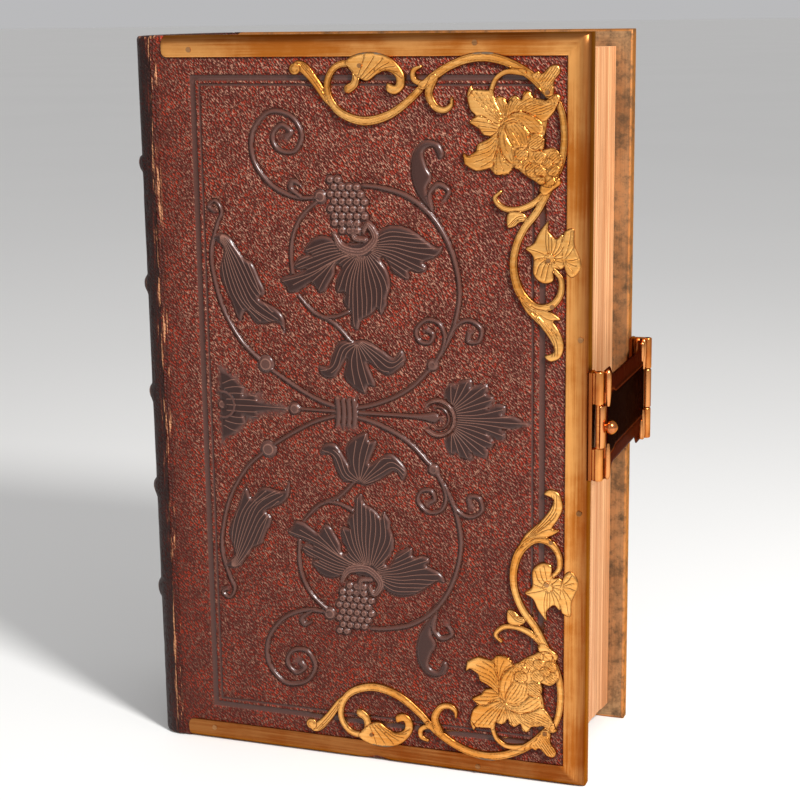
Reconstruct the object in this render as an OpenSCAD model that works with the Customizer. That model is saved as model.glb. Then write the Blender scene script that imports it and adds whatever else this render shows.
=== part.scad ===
// Antique clasped book, standing on its tail: leather boards with stamped
// scrollwork, three-sided brass rims, cut brass corner mounts and a fore-edge clasp.
// The book is drawn from its own middle line: X runs from the spine to the fore-edge,
// Y from the front cover to the back cover, and Z up from the tail edge.

/* [Overall] */
// Height of the covers
cover_h = 152; // [140:1:170]
// Spine-side edge of the boards to the fore-edge of the rims
cover_w = 91.4; // [88:0.5:100]
// Gap that the closed covers leave for the pages
block_gap = 33.6; // [30:0.2:36]

/* [Boards] */
// Thickness of a cover over its rim
cover_t = 4.5; // [4.4:0.1:6]
// How far the leather field lies below the rim's face
field_drop = 0.4; // [0.2:0.1:0.6]
// Width of the spine-side strip that the rim leaves bare
bare_strip = 2.2; // [1.5:0.1:4]
// Height of the stamped ornament above the leather
relief = 0.35; // [0.2:0.05:0.5]
// Depth of the double frame line pressed into the leather
line_depth = 0.18; // [0.1:0.02:0.3]
// Thickness of the paper lining glued inside each cover
lining_t = 0.3; // [0.2:0.05:0.5]

/* [Rims] */
// Width of a rim's flange on the face of the cover
flange_w = 4.4; // [3.6:0.1:5]
// Thickness of a rim's sheet
rim_t = 0.6; // [0.4:0.05:0.7]
// Rounding of a rim's outer edges
rim_round = 1.4; // [0.8:0.1:1.6]
// Diameter of the rim pins
rim_pin_d = 1.1; // [0.8:0.1:1.4]

/* [Pages] */
// Set-back of the pages from the cover edges
square = 3.5; // [3:0.1:4.2]
// Depth of the hollow in the fore-edge
hollow = 1.6; // [0:0.1:3]
// Free space between the pages and each cover lining
page_play = 0.15; // [0.1:0.05:0.3]
// Diameter of the sewn head and tail bands
band_d = 1.8; // [1.2:0.1:2.2]

/* [Spine] */
// Rise of the rounded spine from the joints to its middle
spine_rise = 7; // [6.2:0.1:8]
// Radius of the shoulders that turn from the covers into the spine
shoulder_r = 4.5; // [4:0.1:5]
// Thickness of the spine leather
leather_t = 1.3; // [1:0.1:1.8]
// Height of the raised bands above the spine
rib_h = 1.1; // [0.6:0.1:1.6]
// Width of a raised band along the spine
rib_w = 3.4; // [2.6:0.1:4.2]
// Gap between a board and the spine at the joint
joint_gap = 0.5; // [0.4:0.05:0.8]

/* [Corner mounts] */
// Thickness of the cut brass sheet
mount_t = 0.9; // [0.6:0.05:1.2]
// Diameter of the mount pins
mount_pin_d = 0.9; // [0.7:0.05:1.1]

/* [Clasp] */
// Length of the clasp along the fore-edge
clasp_l = 22; // [18:0.5:26]
// Length of the middle knuckle
knuckle_l = 8.4; // [7:0.1:10]
// Outer diameter of the hinge knuckles
knuckle_d = 1.9; // [1.8:0.05:2.2]
// Distance of the catch bar's axis beyond the covers' fore-edge
bar_out = 1.8; // [1.7:0.1:2.2]
// Distance of the hinge pin's axis beyond the covers' fore-edge
hinge_out = 3.6; // [2.8:0.1:3.8]
// Diameter of the hinge pin
hinge_pin_d = 1.0; // [0.8:0.05:1.1]
// Diameter of the catch bar
bar_d = 1.2; // [1:0.05:1.3]
// Thickness of the clasp plate
hasp_t = 0.8; // [0.7:0.05:1.2]
// Thickness of the leaves soldered to the rims
leaf_t = 0.7; // [0.5:0.05:0.9]
// Diameter of the clasp knob
knob_d = 2.8; // [2.2:0.1:3.4]
// Length of the clasp knob
knob_l = 2.4; // [2:0.1:3.4]
// Radial running clearance of the hinge
run_gap = 0.05; // [0.03:0.01:0.08]
// Gap between neighbouring knuckles
end_gap = 0.15; // [0.1:0.05:0.3]

/* [Hidden] */

BRASS = [0.78, 0.56, 0.24];
OLD_BRASS = [0.66, 0.42, 0.20];
DARK_BRASS = [0.32, 0.24, 0.16];
COPPER = [0.72, 0.40, 0.22];
LEATHER = [0.40, 0.15, 0.11];
PAPER = [0.87, 0.70, 0.50];
LINING = [0.82, 0.76, 0.64];
SILK = [0.62, 0.30, 0.22];

fore_x = 49;
joint_x = fore_x - cover_w;
spine_x = joint_x - joint_gap;
in_y = block_gap / 2;
out_y = in_y + cover_t;
field_y = out_y - field_drop;
mid_z = cover_h / 2;
clasp_z = mid_z;
spine_half = out_y - 0.2;
rim_x0 = joint_x + bare_strip;
board_core_y = out_y - rim_t;
cover_mid_y = in_y + cover_t / 2;
back_axis_x = fore_x + hinge_out;
front_axis_x = fore_x + bar_out;
bar_reach = bar_d / 2 + 0.08;
hasp_x = front_axis_x + bar_reach;
knob_tip_x = hasp_x + hasp_t + knob_l;
mount_y = field_y + mount_t;

// The drawing's origin is moved to the middle of the whole book's footprint.
shift_x = -(spine_x - spine_rise - rib_h + knob_tip_x) / 2;
shift_y = (mount_y - out_y) / 2;
module placed() { translate([shift_x, shift_y, 0]) children(); }

// Point on a smooth curve from b to c, with a and d as its outer neighbours
function bend(a, b, c, d, t) = 0.5 * (2 * b + (c - a) * t + (2 * a - 5 * b + 4 * c - d) * t * t
    + (3 * b - a - 3 * c + d) * t * t * t);

// Smooth open curve through the points, with n steps to each
function flow(p, n) = concat([for (i = [0 : len(p) - 2], j = [0 : n - 1])
    bend(p[max(i - 1, 0)], p[i], p[i + 1], p[min(i + 2, len(p) - 1)], j / n)], [p[len(p) - 1]]);

// Smooth closed curve through the points
function ring(p, n) = let (m = len(p)) [for (i = [0 : m - 1], j = [0 : n - 1])
    bend(p[(i + m - 1) % m], p[i], p[(i + 1) % m], p[(i + 2) % m], j / n)];

// Point beside the curve, half its width away on side s
function beside(c, i, s) = let (a = c[max(i - 1, 0)], b = c[min(i + 1, len(c) - 1)],
    dx = b[0] - a[0], dy = b[1] - a[1], l = norm([dx, dy]), w = s * c[i][2] / 2)
    [c[i][0] - dy / l * w, c[i][1] + dx / l * w];

// Section across the spine: shoulders of radius r at the joints and a flatter arc between them,
// whose middle rises above the joints and which is half wide on each side
function arc_r(rise, half, r) = (rise * rise - r * r + pow(half - r, 2)) / (2 * (rise - r));
function arc_x(rise, half, r) = spine_x - rise + arc_r(rise, half, r);
function arc_lean(rise, half, r) = atan((half - r) / (arc_x(rise, half, r) - spine_x));
spine_arc_r = arc_r(spine_rise, spine_half, shoulder_r);
spine_arc_x = arc_x(spine_rise, spine_half, shoulder_r);
spine_lean = arc_lean(spine_rise, spine_half, shoulder_r);
function shoulder_points(inset) = [for (i = [0 : 6], a = 270 - (90 - spine_lean) * i / 6)
    [spine_x + (shoulder_r - inset) * cos(a), shoulder_r - spine_half + (shoulder_r - inset) * sin(a)]];
function middle_points(inset) = [for (i = [-9 : 9], a = 180 - spine_lean * i / 10)
    [spine_arc_x + (spine_arc_r - inset) * cos(a), (spine_arc_r - inset) * sin(a)]];
function spine_section(inset) = let (p = shoulder_points(inset))
    concat(p, middle_points(inset), [for (i = [len(p) - 1 : -1 : 0]) [p[i][0], -p[i][1]]]);

// Stem of changing width: each point is [x, z, width]
module stem(p, n = 2) {
    c = flow(p, n);
    m = len(c) - 1;
    polygon(concat([for (i = [0 : m]) beside(c, i, 1)], [for (i = [m : -1 : 0]) beside(c, i, -1)]));
}

module leaf(p, n = 2) { polygon(ring(p, n)); }
module dot(x, z, r) { translate([x, z]) circle(r, $fn = 12); }

// Flat drawing on the XZ plane, raised from depth y0 to y1 towards the front
module raise(y0, y1) { translate([0, -y0, 0]) rotate([90, 0, 0]) linear_extrude(y1 - y0) children(); }

// The same for overlapping shapes, which are first welded into one outline
weld = 0.001;
module emboss(y0, y1) { raise(y0, y1) offset(delta = weld) children(); }

// Upper half of the stamped scrollwork, measured from the middle of its frame
module scroll_half() {
    // right-hand stem, its bead and its two small spirals
    stem([[-2.7, 0.9, 0.8], [0.9, 1.7, 0.9], [5.9, 3.7, 0.9], [9.9, 6.3, 0.9], [13.5, 10, 0.9]]);
    dot(14.1, 10.8, 1.25);
    stem([[14.7, 11.5, 0.9], [16.9, 15.2, 0.9], [18.8, 19.6, 0.9], [19.8, 25.4, 0.9], [19.1, 31, 0.9],
        [17, 36.6, 0.95], [13.7, 41.2, 1], [9.1, 44.5, 1], [3.9, 46, 0.9], [0.1, 46.4, 0.8]]);
    stem([[15.5, 12.6, 0.6], [16.7, 16.4, 0.8], [15.6, 19.3, 0.8], [12.9, 19.9, 0.8], [10.7, 17.9, 0.8],
        [11.3, 15.7, 0.8], [13.4, 15.3, 0.8], [14.3, 17, 0.9], [13.2, 17.8, 1.1]]);
    stem([[17.5, 16.6, 0.5], [19.5, 19.4, 0.8], [22.1, 20.2, 0.8], [24.3, 18.6, 0.8], [23.7, 16.1, 0.8],
        [21.6, 16, 0.9], [21.8, 17.6, 1.2]]);
    // flame leaf with its curl
    leaf([[14.5, 41.4], [12.3, 43.6], [10.7, 46.3], [10, 49.6], [10.6, 53.2], [12.9, 55.4],
        [15.6, 55], [16.8, 53], [15.9, 51.9], [14.6, 54.2], [12.6, 53.2], [13.2, 50.4], [14.2, 48.4],
        [13.2, 46], [13.9, 43.3]]);
    stem([[14.1, 42.4, 0.9], [13.7, 45, 0.9], [15.5, 46.9, 1], [17.7, 45.8, 0.9], [16.9, 44.1, 0.7]]);
    // left-hand stem, its knot and the curl at its end
    stem([[-7.1, 1, 0.8], [-11.1, 2.3, 0.8], [-15.6, 4.6, 0.8], [-21.1, 8, 0.8]]);
    dot(-22.3, 9.1, 1.8);
    stem([[-23.7, 10, 0.8], [-27.6, 13.7, 0.8], [-31.4, 20, 0.8], [-33.4, 27, 0.8], [-33.8, 32.5, 0.8],
        [-32.4, 37.6, 0.7], [-31.2, 40.6, 0.7], [-32.5, 42.7, 0.7], [-34.1, 41.6, 0.7], [-33.2, 40.9, 0.9]]);
    leaf([[-33.4, 35.3], [-31.4, 36], [-29.6, 35.2], [-27.9, 32.8], [-26.5, 31], [-24.7, 30],
        [-23.3, 27], [-22.1, 24.2], [-23.4, 22.7], [-20, 21], [-18.1, 19], [-17.9, 15.9], [-19.3, 18],
        [-23.9, 17.6], [-26.5, 20.2], [-27.9, 18], [-29.7, 22.2], [-32, 27.7], [-30.9, 32.8]]);
    // large spiral, comma curl and knob at the head
    stem([[-9.7, 43.8, 0.8], [-15.1, 43.9, 0.9], [-20.3, 46.5, 0.9], [-23.7, 51.4, 0.9], [-23.7, 56.8, 0.9],
        [-20, 60.7, 0.9], [-15.3, 60, 0.9], [-13, 56.4, 0.9], [-14.7, 53, 0.9], [-18.1, 53.3, 0.9],
        [-19.4, 56, 0.9], [-17.4, 58.2, 0.9], [-15.4, 56.9, 1], [-16.3, 55.8, 1.4]]);
    stem([[-13.4, 43.9, 0.5], [-15.7, 45.6, 1.1], [-15.1, 47, 1.1], [-13.4, 46.2, 0.5]]);
    dot(-9.3, 44, 1.4);
    // inner stem down to the small flower, broken where the large leaf covers it
    stem([[-9.9, 43.2, 0.8], [-13.9, 39.4, 0.8], [-15.9, 34, 0.8], [-15.8, 28.4, 0.8]]);
    stem([[-14.5, 23.8, 0.7], [-11.3, 20.5, 0.8], [-6.9, 18.4, 0.8], [-3.1, 14.6, 0.8]]);
    stem([[-9.5, 19.5, 0.6], [-6.6, 19.7, 0.7], [-3.7, 20.9, 0.8]]);
    // large leaf of three lobes
    leaf([[-5.7, 34.4], [-8.3, 34.7], [-12.8, 32.2], [-11.7, 31], [-15.1, 28.8], [-13.5, 27.6],
        [-16.9, 27.3], [-18.6, 25.4], [-14.1, 23.9], [-10.1, 25.2], [-9.2, 24.1], [-7.1, 27.2], [-4.8, 29.3],
        [-6, 26.4], [-4.9, 21.2], [-3, 21], [-1.6, 16.8], [-0.1, 19.8], [2.3, 21.6], [3.3, 20.2], [4.3, 23.6],
        [5.2, 27.4], [3.3, 31.1], [6.5, 28.3], [8.8, 27.1], [9.9, 28.8], [12.2, 28.3], [11.9, 30.9],
        [14.5, 31.6], [15.7, 33.4], [12.3, 34.9], [9.5, 37.3], [5.9, 37.9], [2.1, 36.2]], 1);
    // small flower of three lobes
    leaf([[-2.8, 14.8], [-5.7, 14.6], [-7.3, 12], [-8.3, 9.3], [-10.5, 9.3], [-9.7, 7.3], [-7.1, 7.2],
        [-4.3, 11.2], [-4.9, 7.6], [-3.1, 5.4], [-0.4, 4.1], [0.2, 5.8], [1.8, 6], [0.1, 10.6], [2.5, 9.3],
        [4.8, 8.2], [7.3, 10], [8.3, 11.8], [7.4, 13.6], [5.9, 11.8], [3.3, 13.3], [-0.1, 15.1]], 1);
    // calyx curls under the fruit
    stem([[-6.3, 36.4, 0.8], [-4.7, 33.9, 1.2], [-0.5, 33.3, 1.3], [2.3, 36, 1], [0.9, 38.7, 0.9],
        [-0.2, 37.2, 0.8]]);
    stem([[0.1, 35.6, 0.8], [-2.1, 36, 0.9], [-2.5, 38.6, 0.8], [-4.1, 38.9, 0.5]]);
}

// Palmette and tassel on the middle line, upper halves only
module middle_half() {
    leaf([[15.9, 0], [15.6, 4.4], [16.3, 6.9], [18.3, 6.8], [21.1, 8.4], [21.7, 6.6], [24.4, 7.5],
        [23.9, 5.6], [25.8, 5.4], [23.5, 3.1], [25.5, 3.5], [28.1, 3.5], [27.3, 1.8], [30.1, 1.6],
        [34.3, 0.1], [26.9, 0]], 1);
    leaf([[-33, 7.7], [-30.4, 6.7], [-27.3, 3.8], [-27.7, 2.2], [-24.5, 2.9], [-24.5, 1.4],
        [-17.7, 0.3], [-17.7, 0], [-27.1, 0], [-29.4, 2.9], [-31.5, 4.4]], 1);
}

// Crescents, cups and the tie on the middle line
module middle_whole() {
    stem([[-2.8, 0, 0.9], [4.9, 0, 0.7], [9.9, 0, 0.9], [14.9, 0, 3.8]]);
    stem([for (a = [-115 : 23 : 115]) [14.1 + 3.5 * cos(a), 3.8 * sin(a), 0.9]], 1);
    stem([[-17.1, 0, 0.6], [-12.1, 0, 0.6], [-7.1, 0, 0.8]], 1);
    dot(-16.1, 0, 1.3);
    stem([for (a = [-100 : 25 : 100]) [-32.5 + 2.8 * cos(a), 2.8 * sin(a), 0.7]], 1);
    dot(-32.5, 0, 1.1);
    for (x = [-6.5 : 1.2 : -2.9]) stem([[x, -2.5, 0.9], [x + 0.2, 0, 1.1], [x, 2.5, 0.9]], 1);
}

// Rows of small fruit scales: the first and last scale of each row, from the head down
fruit_pitch = 1.6;
fruit_rows = [[-7.1, -4.7], [-6.3, -1.1], [-7.1, 0.8], [-6.3, 0.8], [-7.1, 0.8], [-6.3, 0.8], [-6.3, -0.1],
    [-4.7, -1]];
module fruit() {
    for (r = [0 : len(fruit_rows) - 1], x = [fruit_rows[r][0] : fruit_pitch : fruit_rows[r][1]])
        translate([x, 47.5 - 1.45 * r]) rotate(-90) circle(0.7, $fn = 5);
}

module both_halves() {
    children();
    mirror([0, 1]) children();
}

// Double frame line pressed round the leather field, by its distances from the cover's edges
frame_l = 8.2;
frame_r = 8.6;
frame_z = 7.9;
module frame_line(l, r, z, w) {
    difference() {
        translate([joint_x + l, z]) square([cover_w - l - r, cover_h - 2 * z]);
        translate([joint_x + l + w, z + w]) square([cover_w - l - r - 2 * w, cover_h - 2 * (z + w)]);
    }
}
module frame_lines() {
    frame_line(frame_l, frame_r, frame_z, 1.2);
    frame_line(frame_l + 1.8, frame_r + 2.3, frame_z + 1.7, 0.5);
}

// Corner mount: cut scrolls, leaves and fruit, measured from the cover's head fore-edge corner
module mount_drawing() {
    // leaf that ends the long arm
    leaf([[-60.6, -5.8], [-59.2, -4.9], [-57.4, -5.6], [-55.6, -7.6], [-53.4, -10.8], [-51.2, -14.7],
        [-53.6, -13.4], [-56.4, -9.4], [-58.4, -7.4], [-59.6, -6.8]]);
    dot(-59.9, -6.7, 1.2);
    // long scroll with its two inner curls and the crest between them
    stem([[-48.6, -10.6, 1.9], [-47.2, -9.5, 1.7], [-47, -7.2, 1.6], [-48.8, -5.7, 1.5], [-51.4, -6.5, 1.4],
        [-53, -9.4, 1.4], [-52.4, -12.8, 1.5], [-50, -15.4, 1.7], [-45.4, -16.8, 1.9], [-40.4, -15.7, 1.8],
        [-36, -12.8, 1.6], [-32, -8.9, 1.5]]);
    leaf([[-49, -5.4], [-46.8, -3.9], [-43.4, -3.5], [-40.2, -4.3], [-38.2, -5.8], [-36.8, -8], [-37, -10.4],
        [-38.8, -11.7], [-40.6, -11], [-40.4, -9.4], [-38.8, -9.8], [-38.8, -8.2], [-40.6, -7.2], [-42.4, -7.8],
        [-44.6, -9.1], [-46.6, -8.2]]);
    // small hook at the tie
    stem([[-33.4, -6.3, 0.6], [-34.9, -7, 1.1], [-34.9, -8.7, 1.2], [-33.2, -9.5, 1.2], [-31.4, -8.8, 1.3]]);
    // arm to the corner with its comma curl
    stem([[-33.2, -10, 1.5], [-30.6, -8, 1.8], [-27.4, -6.1, 1.7], [-23.6, -4.8, 1.8], [-19.6, -4.6, 1.9],
        [-15.4, -5.8, 1.8], [-11.6, -8, 1.8], [-8.4, -11, 1.8], [-6.9, -13, 1.4]]);
    stem([[-30.8, -8.6, 1.6], [-31.9, -11.4, 1.7], [-30.7, -13.9, 1.5], [-28.8, -14.6, 1.3], [-27.3, -13.6, 1],
        [-27.3, -12.2, 0.5]]);
    stem([[-19.4, -11.2, 1], [-18.4, -8.7, 1], [-16.2, -7.3, 1.1], [-13, -7.5, 1.3]]);
    // husk in the corner
    leaf([[-11.2, -8], [-10.1, -7.1], [-9.3, -7.6], [-7.7, -6.2], [-6.2, -6.1], [-5.7, -7.4], [-6.9, -9.1],
        [-7, -11.4], [-8.6, -11.8], [-9.8, -9.8]]);
    // vine leaf
    leaf([[-22.9, -10.5], [-24, -12.2], [-23.4, -14.6], [-22.5, -15.6], [-23.9, -16.8], [-21.8, -18], [-20.8, -19.4],
        [-19.2, -19.7], [-22, -20.9], [-22.5, -22.4], [-24, -23.3], [-25, -22.8], [-24.8, -25], [-22.4, -26.3],
        [-19.6, -25.7], [-18.6, -26.9], [-16.6, -27], [-15.2, -26], [-14.6, -24.8], [-12.8, -26], [-11, -24],
        [-9.4, -21], [-8.6, -18.6], [-8.2, -16.4], [-6.7, -14.6], [-5.5, -11.9], [-6.6, -11.3], [-8.5, -12.6],
        [-11, -12.1], [-12.2, -10.9], [-13.4, -12.5], [-14.6, -11.7], [-16.1, -13.2], [-17.3, -11.9],
        [-18.6, -12.2], [-20.4, -10.7]], 1);
    // fruit hanging from the leaf
    leaf([[-13.4, -25.6], [-11.6, -27.1], [-8.6, -27.9], [-6.8, -28.4], [-6, -26.6], [-6.1, -23.6], [-7.8, -21.8],
        [-9.4, -21.4], [-12, -22.6]]);
    // edge stem and collar
    stem([[-6.6, -12, 1.2], [-5.3, -15.4, 1.4], [-4.9, -20, 1.5], [-5.5, -24.4, 1.5], [-7.1, -28, 1.5]]);
    stem([[-8.6, -29.4, 2.2], [-6.6, -28.1, 2.2]], 1);
    // curl and small leaf below the collar
    stem([[-7.8, -29.2, 1.3], [-10.4, -31.9, 1.4], [-13.6, -33.4, 1.3], [-16.8, -33.3, 1.2], [-18.6, -31.5, 1],
        [-17.4, -30.1, 0.7]]);
    leaf([[-16, -34.2], [-13.2, -34], [-11.8, -35.8], [-13.6, -36], [-14.6, -36.8], [-16.1, -37]]);
    // lower arm, its volute and the leaf at its end
    stem([[-7.6, -29.2, 1.4], [-10.2, -33.8, 1.6], [-12.8, -37.2, 1.6], [-14.5, -41.2, 1.6], [-14.8, -45.4, 1.7],
        [-13.5, -49.7, 1.9], [-10.6, -52.4, 1.8], [-7.6, -52.2, 1.6], [-5.6, -50, 1.4], [-5.3, -47, 1.2],
        [-6.6, -45.2, 1], [-7.6, -44.4, 1]]);
    leaf([[-13.8, -50.4], [-12.4, -53.4], [-9.6, -56.1], [-7.5, -58.8], [-6.7, -61], [-8.6, -62], [-7.4, -63.1],
        [-5.4, -62.2], [-4.7, -59.6], [-5.6, -57], [-6.8, -55.1], [-5.4, -54.7], [-7.4, -53.2], [-10.6, -52.6]]);
    // small flower and the petal of it that lies on the rim
    leaf([[-12.5, -41], [-10.8, -39.8], [-9.7, -37.6], [-7.9, -35.5], [-7.9, -37.4], [-6.4, -38.9], [-5.2, -38],
        [-4.3, -40], [-4.4, -43.6], [-5.4, -44.9], [-6.8, -44.9], [-6.9, -47.2], [-9, -47.7], [-10.9, -46],
        [-11, -42.6]]);
    leaf([[-5, -38.2], [-4.4, -37.2], [-2.9, -37], [-2.7, -40], [-1.4, -43.4], [-1.9, -45.4], [-3.3, -46.4],
        [-4.6, -45], [-5, -42]]);
}

module at_middle() { translate([joint_x + (cover_w + frame_l - frame_r) / 2, mid_z]) children(); }
module at_corner() { translate([fore_x, cover_h]) children(); }

// Box on the front cover from depth y0 to y1
module slab(x0, x1, z0, z1, y0, y1) { translate([x0, -y1, z0]) cube([x1 - x0, y1 - y0, z1 - z0]); }
module to_back() { mirror([0, 1, 0]) children(); }
module pin(p, d, y0, y1) { translate([p[0], -y0, p[1]]) rotate([90, 0, 0]) cylinder(y1 - y0, d = d, $fn = 16); }

// rim pins: two along the head and the tail, two along the fore-edge
end_pin = [rim_x0 + 6.2, flange_w * 0.65];
middle_pin = [26.4, flange_w * 0.42];
side_pin = [fore_x - flange_w * 0.32, cover_h * 0.615];
rim_pin_spots = [for (p = [end_pin, middle_pin, side_pin], top = [0, 1])
    [p[0], top * cover_h + (1 - 2 * top) * p[1]]];
from_corner = [[-46, -6.1], [-8.1, -11.2], [-7.8, -43.2], [-7, -52.2]];
mount_pin_spots = concat([for (p = from_corner) [fore_x + p[0], cover_h + p[1]]],
    [for (p = from_corner) [fore_x + p[0], -p[1]]]);
pin_depth = 2.4;

module rim_pins() { for (p = rim_pin_spots) pin(p, rim_pin_d, out_y - pin_depth, out_y + 0.1); }
module board_slab() {
    difference() {
        union() {
            slab(joint_x, rim_x0, 0, cover_h, in_y + rim_t, field_y);
            slab(rim_x0, fore_x - rim_t, rim_t, cover_h - rim_t, in_y + rim_t, board_core_y);
            slab(rim_x0, fore_x - flange_w, flange_w, cover_h - flange_w, board_core_y - 0.01, field_y);
        }
        rim_pins();
    }
}
module lining() {
    slab(joint_x + 0.5, fore_x - flange_w - 0.1, flange_w + 0.1, cover_h - flange_w - 0.1,
        in_y + rim_t - lining_t, in_y + rim_t);
}

// Section of the rim channel: x from the outer edge inwards, y from the inner face outwards
function corner(cx, cy, r, a0, a1) = [for (i = [0 : 5]) [cx + r * cos(a0 + (a1 - a0) * i / 5),
    cy + r * sin(a0 + (a1 - a0) * i / 5)]];
small_round = rim_round * 0.4;
rim_section = concat([[flange_w, 0]], corner(small_round, small_round, small_round, 270, 180),
    corner(rim_round, cover_t - rim_round, rim_round, 180, 90),
    [[flange_w, cover_t], [flange_w, cover_t - rim_t], [rim_t, cover_t - rim_t], [rim_t, rim_t],
    [flange_w, rim_t]]);
module rim() {
    cut = flange_w + 0.001;
    end_r = 1.4;
    difference() {
        union() {
            intersection() {
                linear_extrude(cover_h) polygon([for (p = rim_section) [fore_x - p[0], -in_y - p[1]]]);
                raise(in_y - 1, out_y + 1) polygon([[fore_x, 0], [fore_x, cover_h],
                    [fore_x - cut, cover_h - cut], [fore_x - cut, cut]]);
            }
            for (side = [0, 1]) translate([0, 0, side * cover_h]) mirror([0, 0, side]) intersection() {
                translate([rim_x0, 0, 0]) rotate([90, 0, 90]) linear_extrude(fore_x - rim_x0)
                    polygon([for (p = rim_section) [-in_y - p[1], p[0]]]);
                raise(in_y - 1, out_y + 1) polygon(concat([[fore_x, 0], [fore_x - cut, cut]],
                    corner(rim_x0 + end_r, cut - end_r, end_r, 90, 180), [[rim_x0, 0.4], [rim_x0 + 0.4, 0]]));
            }
        }
        rim_pins();
    }
}

module mount() {
    difference() {
        emboss(field_y, mount_y) at_corner() mount_drawing();
        slab(-fore_x, fore_x, cover_h - flange_w, cover_h, field_y - 1, out_y);
        slab(fore_x - flange_w, fore_x, 0, cover_h, field_y - 1, out_y);
        mount_pins();
    }
}
module mount_pins() color(OLD_BRASS) {
    for (p = mount_pin_spots) pin(p, mount_pin_d, field_y - pin_depth, mount_y + 0.1);
}

module page_block() color(PAPER) {
    half = in_y - page_play;
    x1 = fore_x - square;
    translate([0, 0, square]) linear_extrude(cover_h - 2 * square) polygon(concat(spine_section(leather_t),
        [[spine_x, half]], [for (t = [1 : -0.25 : -1]) [x1 - hollow * (1 - t * t), half * t]],
        [[spine_x, -half]]));
}

// Sewn bands at the head and tail, just inside the spine's leather
band_reach = 14;
module band_at(z) {
    r = spine_arc_r - leather_t - band_d / 2;
    arc = 2 * asin(band_reach / r);
    translate([spine_arc_x, 0, z]) rotate([0, 0, 180 - arc / 2])
        rotate_extrude(angle = arc, $fn = 120) translate([r, 0]) circle(d = band_d, $fn = 16);
}
module head_band() color(SILK) band_at(cover_h - square + band_d / 2);
module tail_band() color(SILK) band_at(square - band_d / 2);

// Raised bands, at their shares of the height up from the tail, which fade out at the joints
rib_places = [0.217, 0.368, 0.507, 0.661, 0.829];
rib_half = spine_half - 0.2;
rib_rise = spine_rise + rib_h;
rib_shoulder_r = shoulder_r + 1.5;
module rib_turn(x, y, r, start, angle) {
    translate([x, y, 0]) rotate([0, 0, start]) rotate_extrude(angle = angle, $fn = 60) intersection() {
        translate([r - 2 * rib_h, 0]) circle(r = 2 * rib_h, $fn = 16);
        translate([r - 3 * rib_h, -rib_w / 2]) square([4 * rib_h, rib_w]);
    }
}
module rib() {
    lean = arc_lean(rib_rise, rib_half, rib_shoulder_r);
    reach = rib_half - rib_shoulder_r;
    rib_turn(arc_x(rib_rise, rib_half, rib_shoulder_r), 0, arc_r(rib_rise, rib_half, rib_shoulder_r),
        180 - lean, 2 * lean);
    rib_turn(spine_x, -reach, rib_shoulder_r, 180 + lean, 90 - lean);
    rib_turn(spine_x, reach, rib_shoulder_r, 90, 90 - lean);
}

// The leather is turned in over the head and the tail
cap_t = 1;
cap_in = 1.5;
module spine_hollow(inset, h) {
    p = spine_section(inset);
    translate([0, 0, mid_z - h / 2]) linear_extrude(h)
        polygon(concat([[spine_x + 1, p[0][1]]], p, [[spine_x + 1, -p[0][1]]]));
}
module spine_leather() color(LEATHER) {
    difference() {
        union() {
            linear_extrude(cover_h) polygon(spine_section(0));
            for (share = rib_places) translate([0, 0, cover_h * share]) rib();
        }
        spine_hollow(leather_t, cover_h - 2 * cap_t);
        spine_hollow(leather_t + cap_in, cover_h + 2);
    }
}

module front_board() color(LEATHER) {
    difference() {
        union() {
            board_slab();
            emboss(field_y - 0.1, field_y + relief) at_middle() {
                both_halves() scroll_half();
                both_halves() middle_half();
                middle_whole();
            }
            emboss(field_y - 0.1, field_y + relief * 1.2) at_middle() both_halves() fruit();
        }
        mount_pins();
        raise(field_y - line_depth, field_y + 1) frame_lines();
    }
}
module back_board() color(LEATHER) to_back() difference() {
    board_slab();
    raise(field_y - line_depth, field_y + 1) frame_lines();
}
module front_lining() color(LINING) lining();
module back_lining() color(LINING) to_back() lining();
module front_rim() color(OLD_BRASS) rim();
module back_rim() color(OLD_BRASS) to_back() rim();
module front_rim_pins() color(DARK_BRASS) rim_pins();
module back_rim_pins() color(DARK_BRASS) to_back() rim_pins();
module head_corner_mount() color(BRASS) mount();
module tail_corner_mount() color(BRASS) {
    translate([0, 0, cover_h]) mirror([0, 0, 1]) mount();
}

// Upright cylinder at x, y, between heights a and b from the clasp's middle
module post(x, y, d, a, b) { translate([x, y, clasp_z + a]) cylinder(b - a, d = d, $fn = 32); }
// Leaf on a rim's edge, set in from the cover's inner and outer faces
leaf_in = 0.5;
leaf_out = 1;
module leaf_plate(s) {
    translate([fore_x, s > 0 ? in_y + leaf_in : leaf_out - out_y, clasp_z - clasp_l / 2])
        cube([leaf_t, cover_t - leaf_in - leaf_out, clasp_l]);
}
knuckle_in = knuckle_l / 2 + end_gap;
knuckle_neck = knuckle_d * 0.7;
module outer_knuckles(x, y) {
    for (m = [0, 1]) translate([0, 0, 2 * clasp_z * m]) mirror([0, 0, m]) {
        post(x, y, knuckle_d, knuckle_in, clasp_l / 2);
        translate([fore_x, y - knuckle_neck / 2, clasp_z + knuckle_in])
            cube([x - fore_x, knuckle_neck, clasp_l / 2 - knuckle_in]);
    }
}
module catch_plate() color(OLD_BRASS) {
    difference() {
        union() {
            leaf_plate(-1);
            outer_knuckles(front_axis_x, -cover_mid_y);
        }
        post(front_axis_x, -cover_mid_y, bar_d, -clasp_l, clasp_l);
    }
}
module catch_bar() color(DARK_BRASS) post(front_axis_x, -cover_mid_y, bar_d, -clasp_l / 2, clasp_l / 2);
module clasp_leaf() color(OLD_BRASS) {
    difference() {
        union() {
            leaf_plate(1);
            outer_knuckles(back_axis_x, cover_mid_y);
        }
        post(back_axis_x, cover_mid_y, hinge_pin_d, -clasp_l, clasp_l);
    }
}
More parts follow.
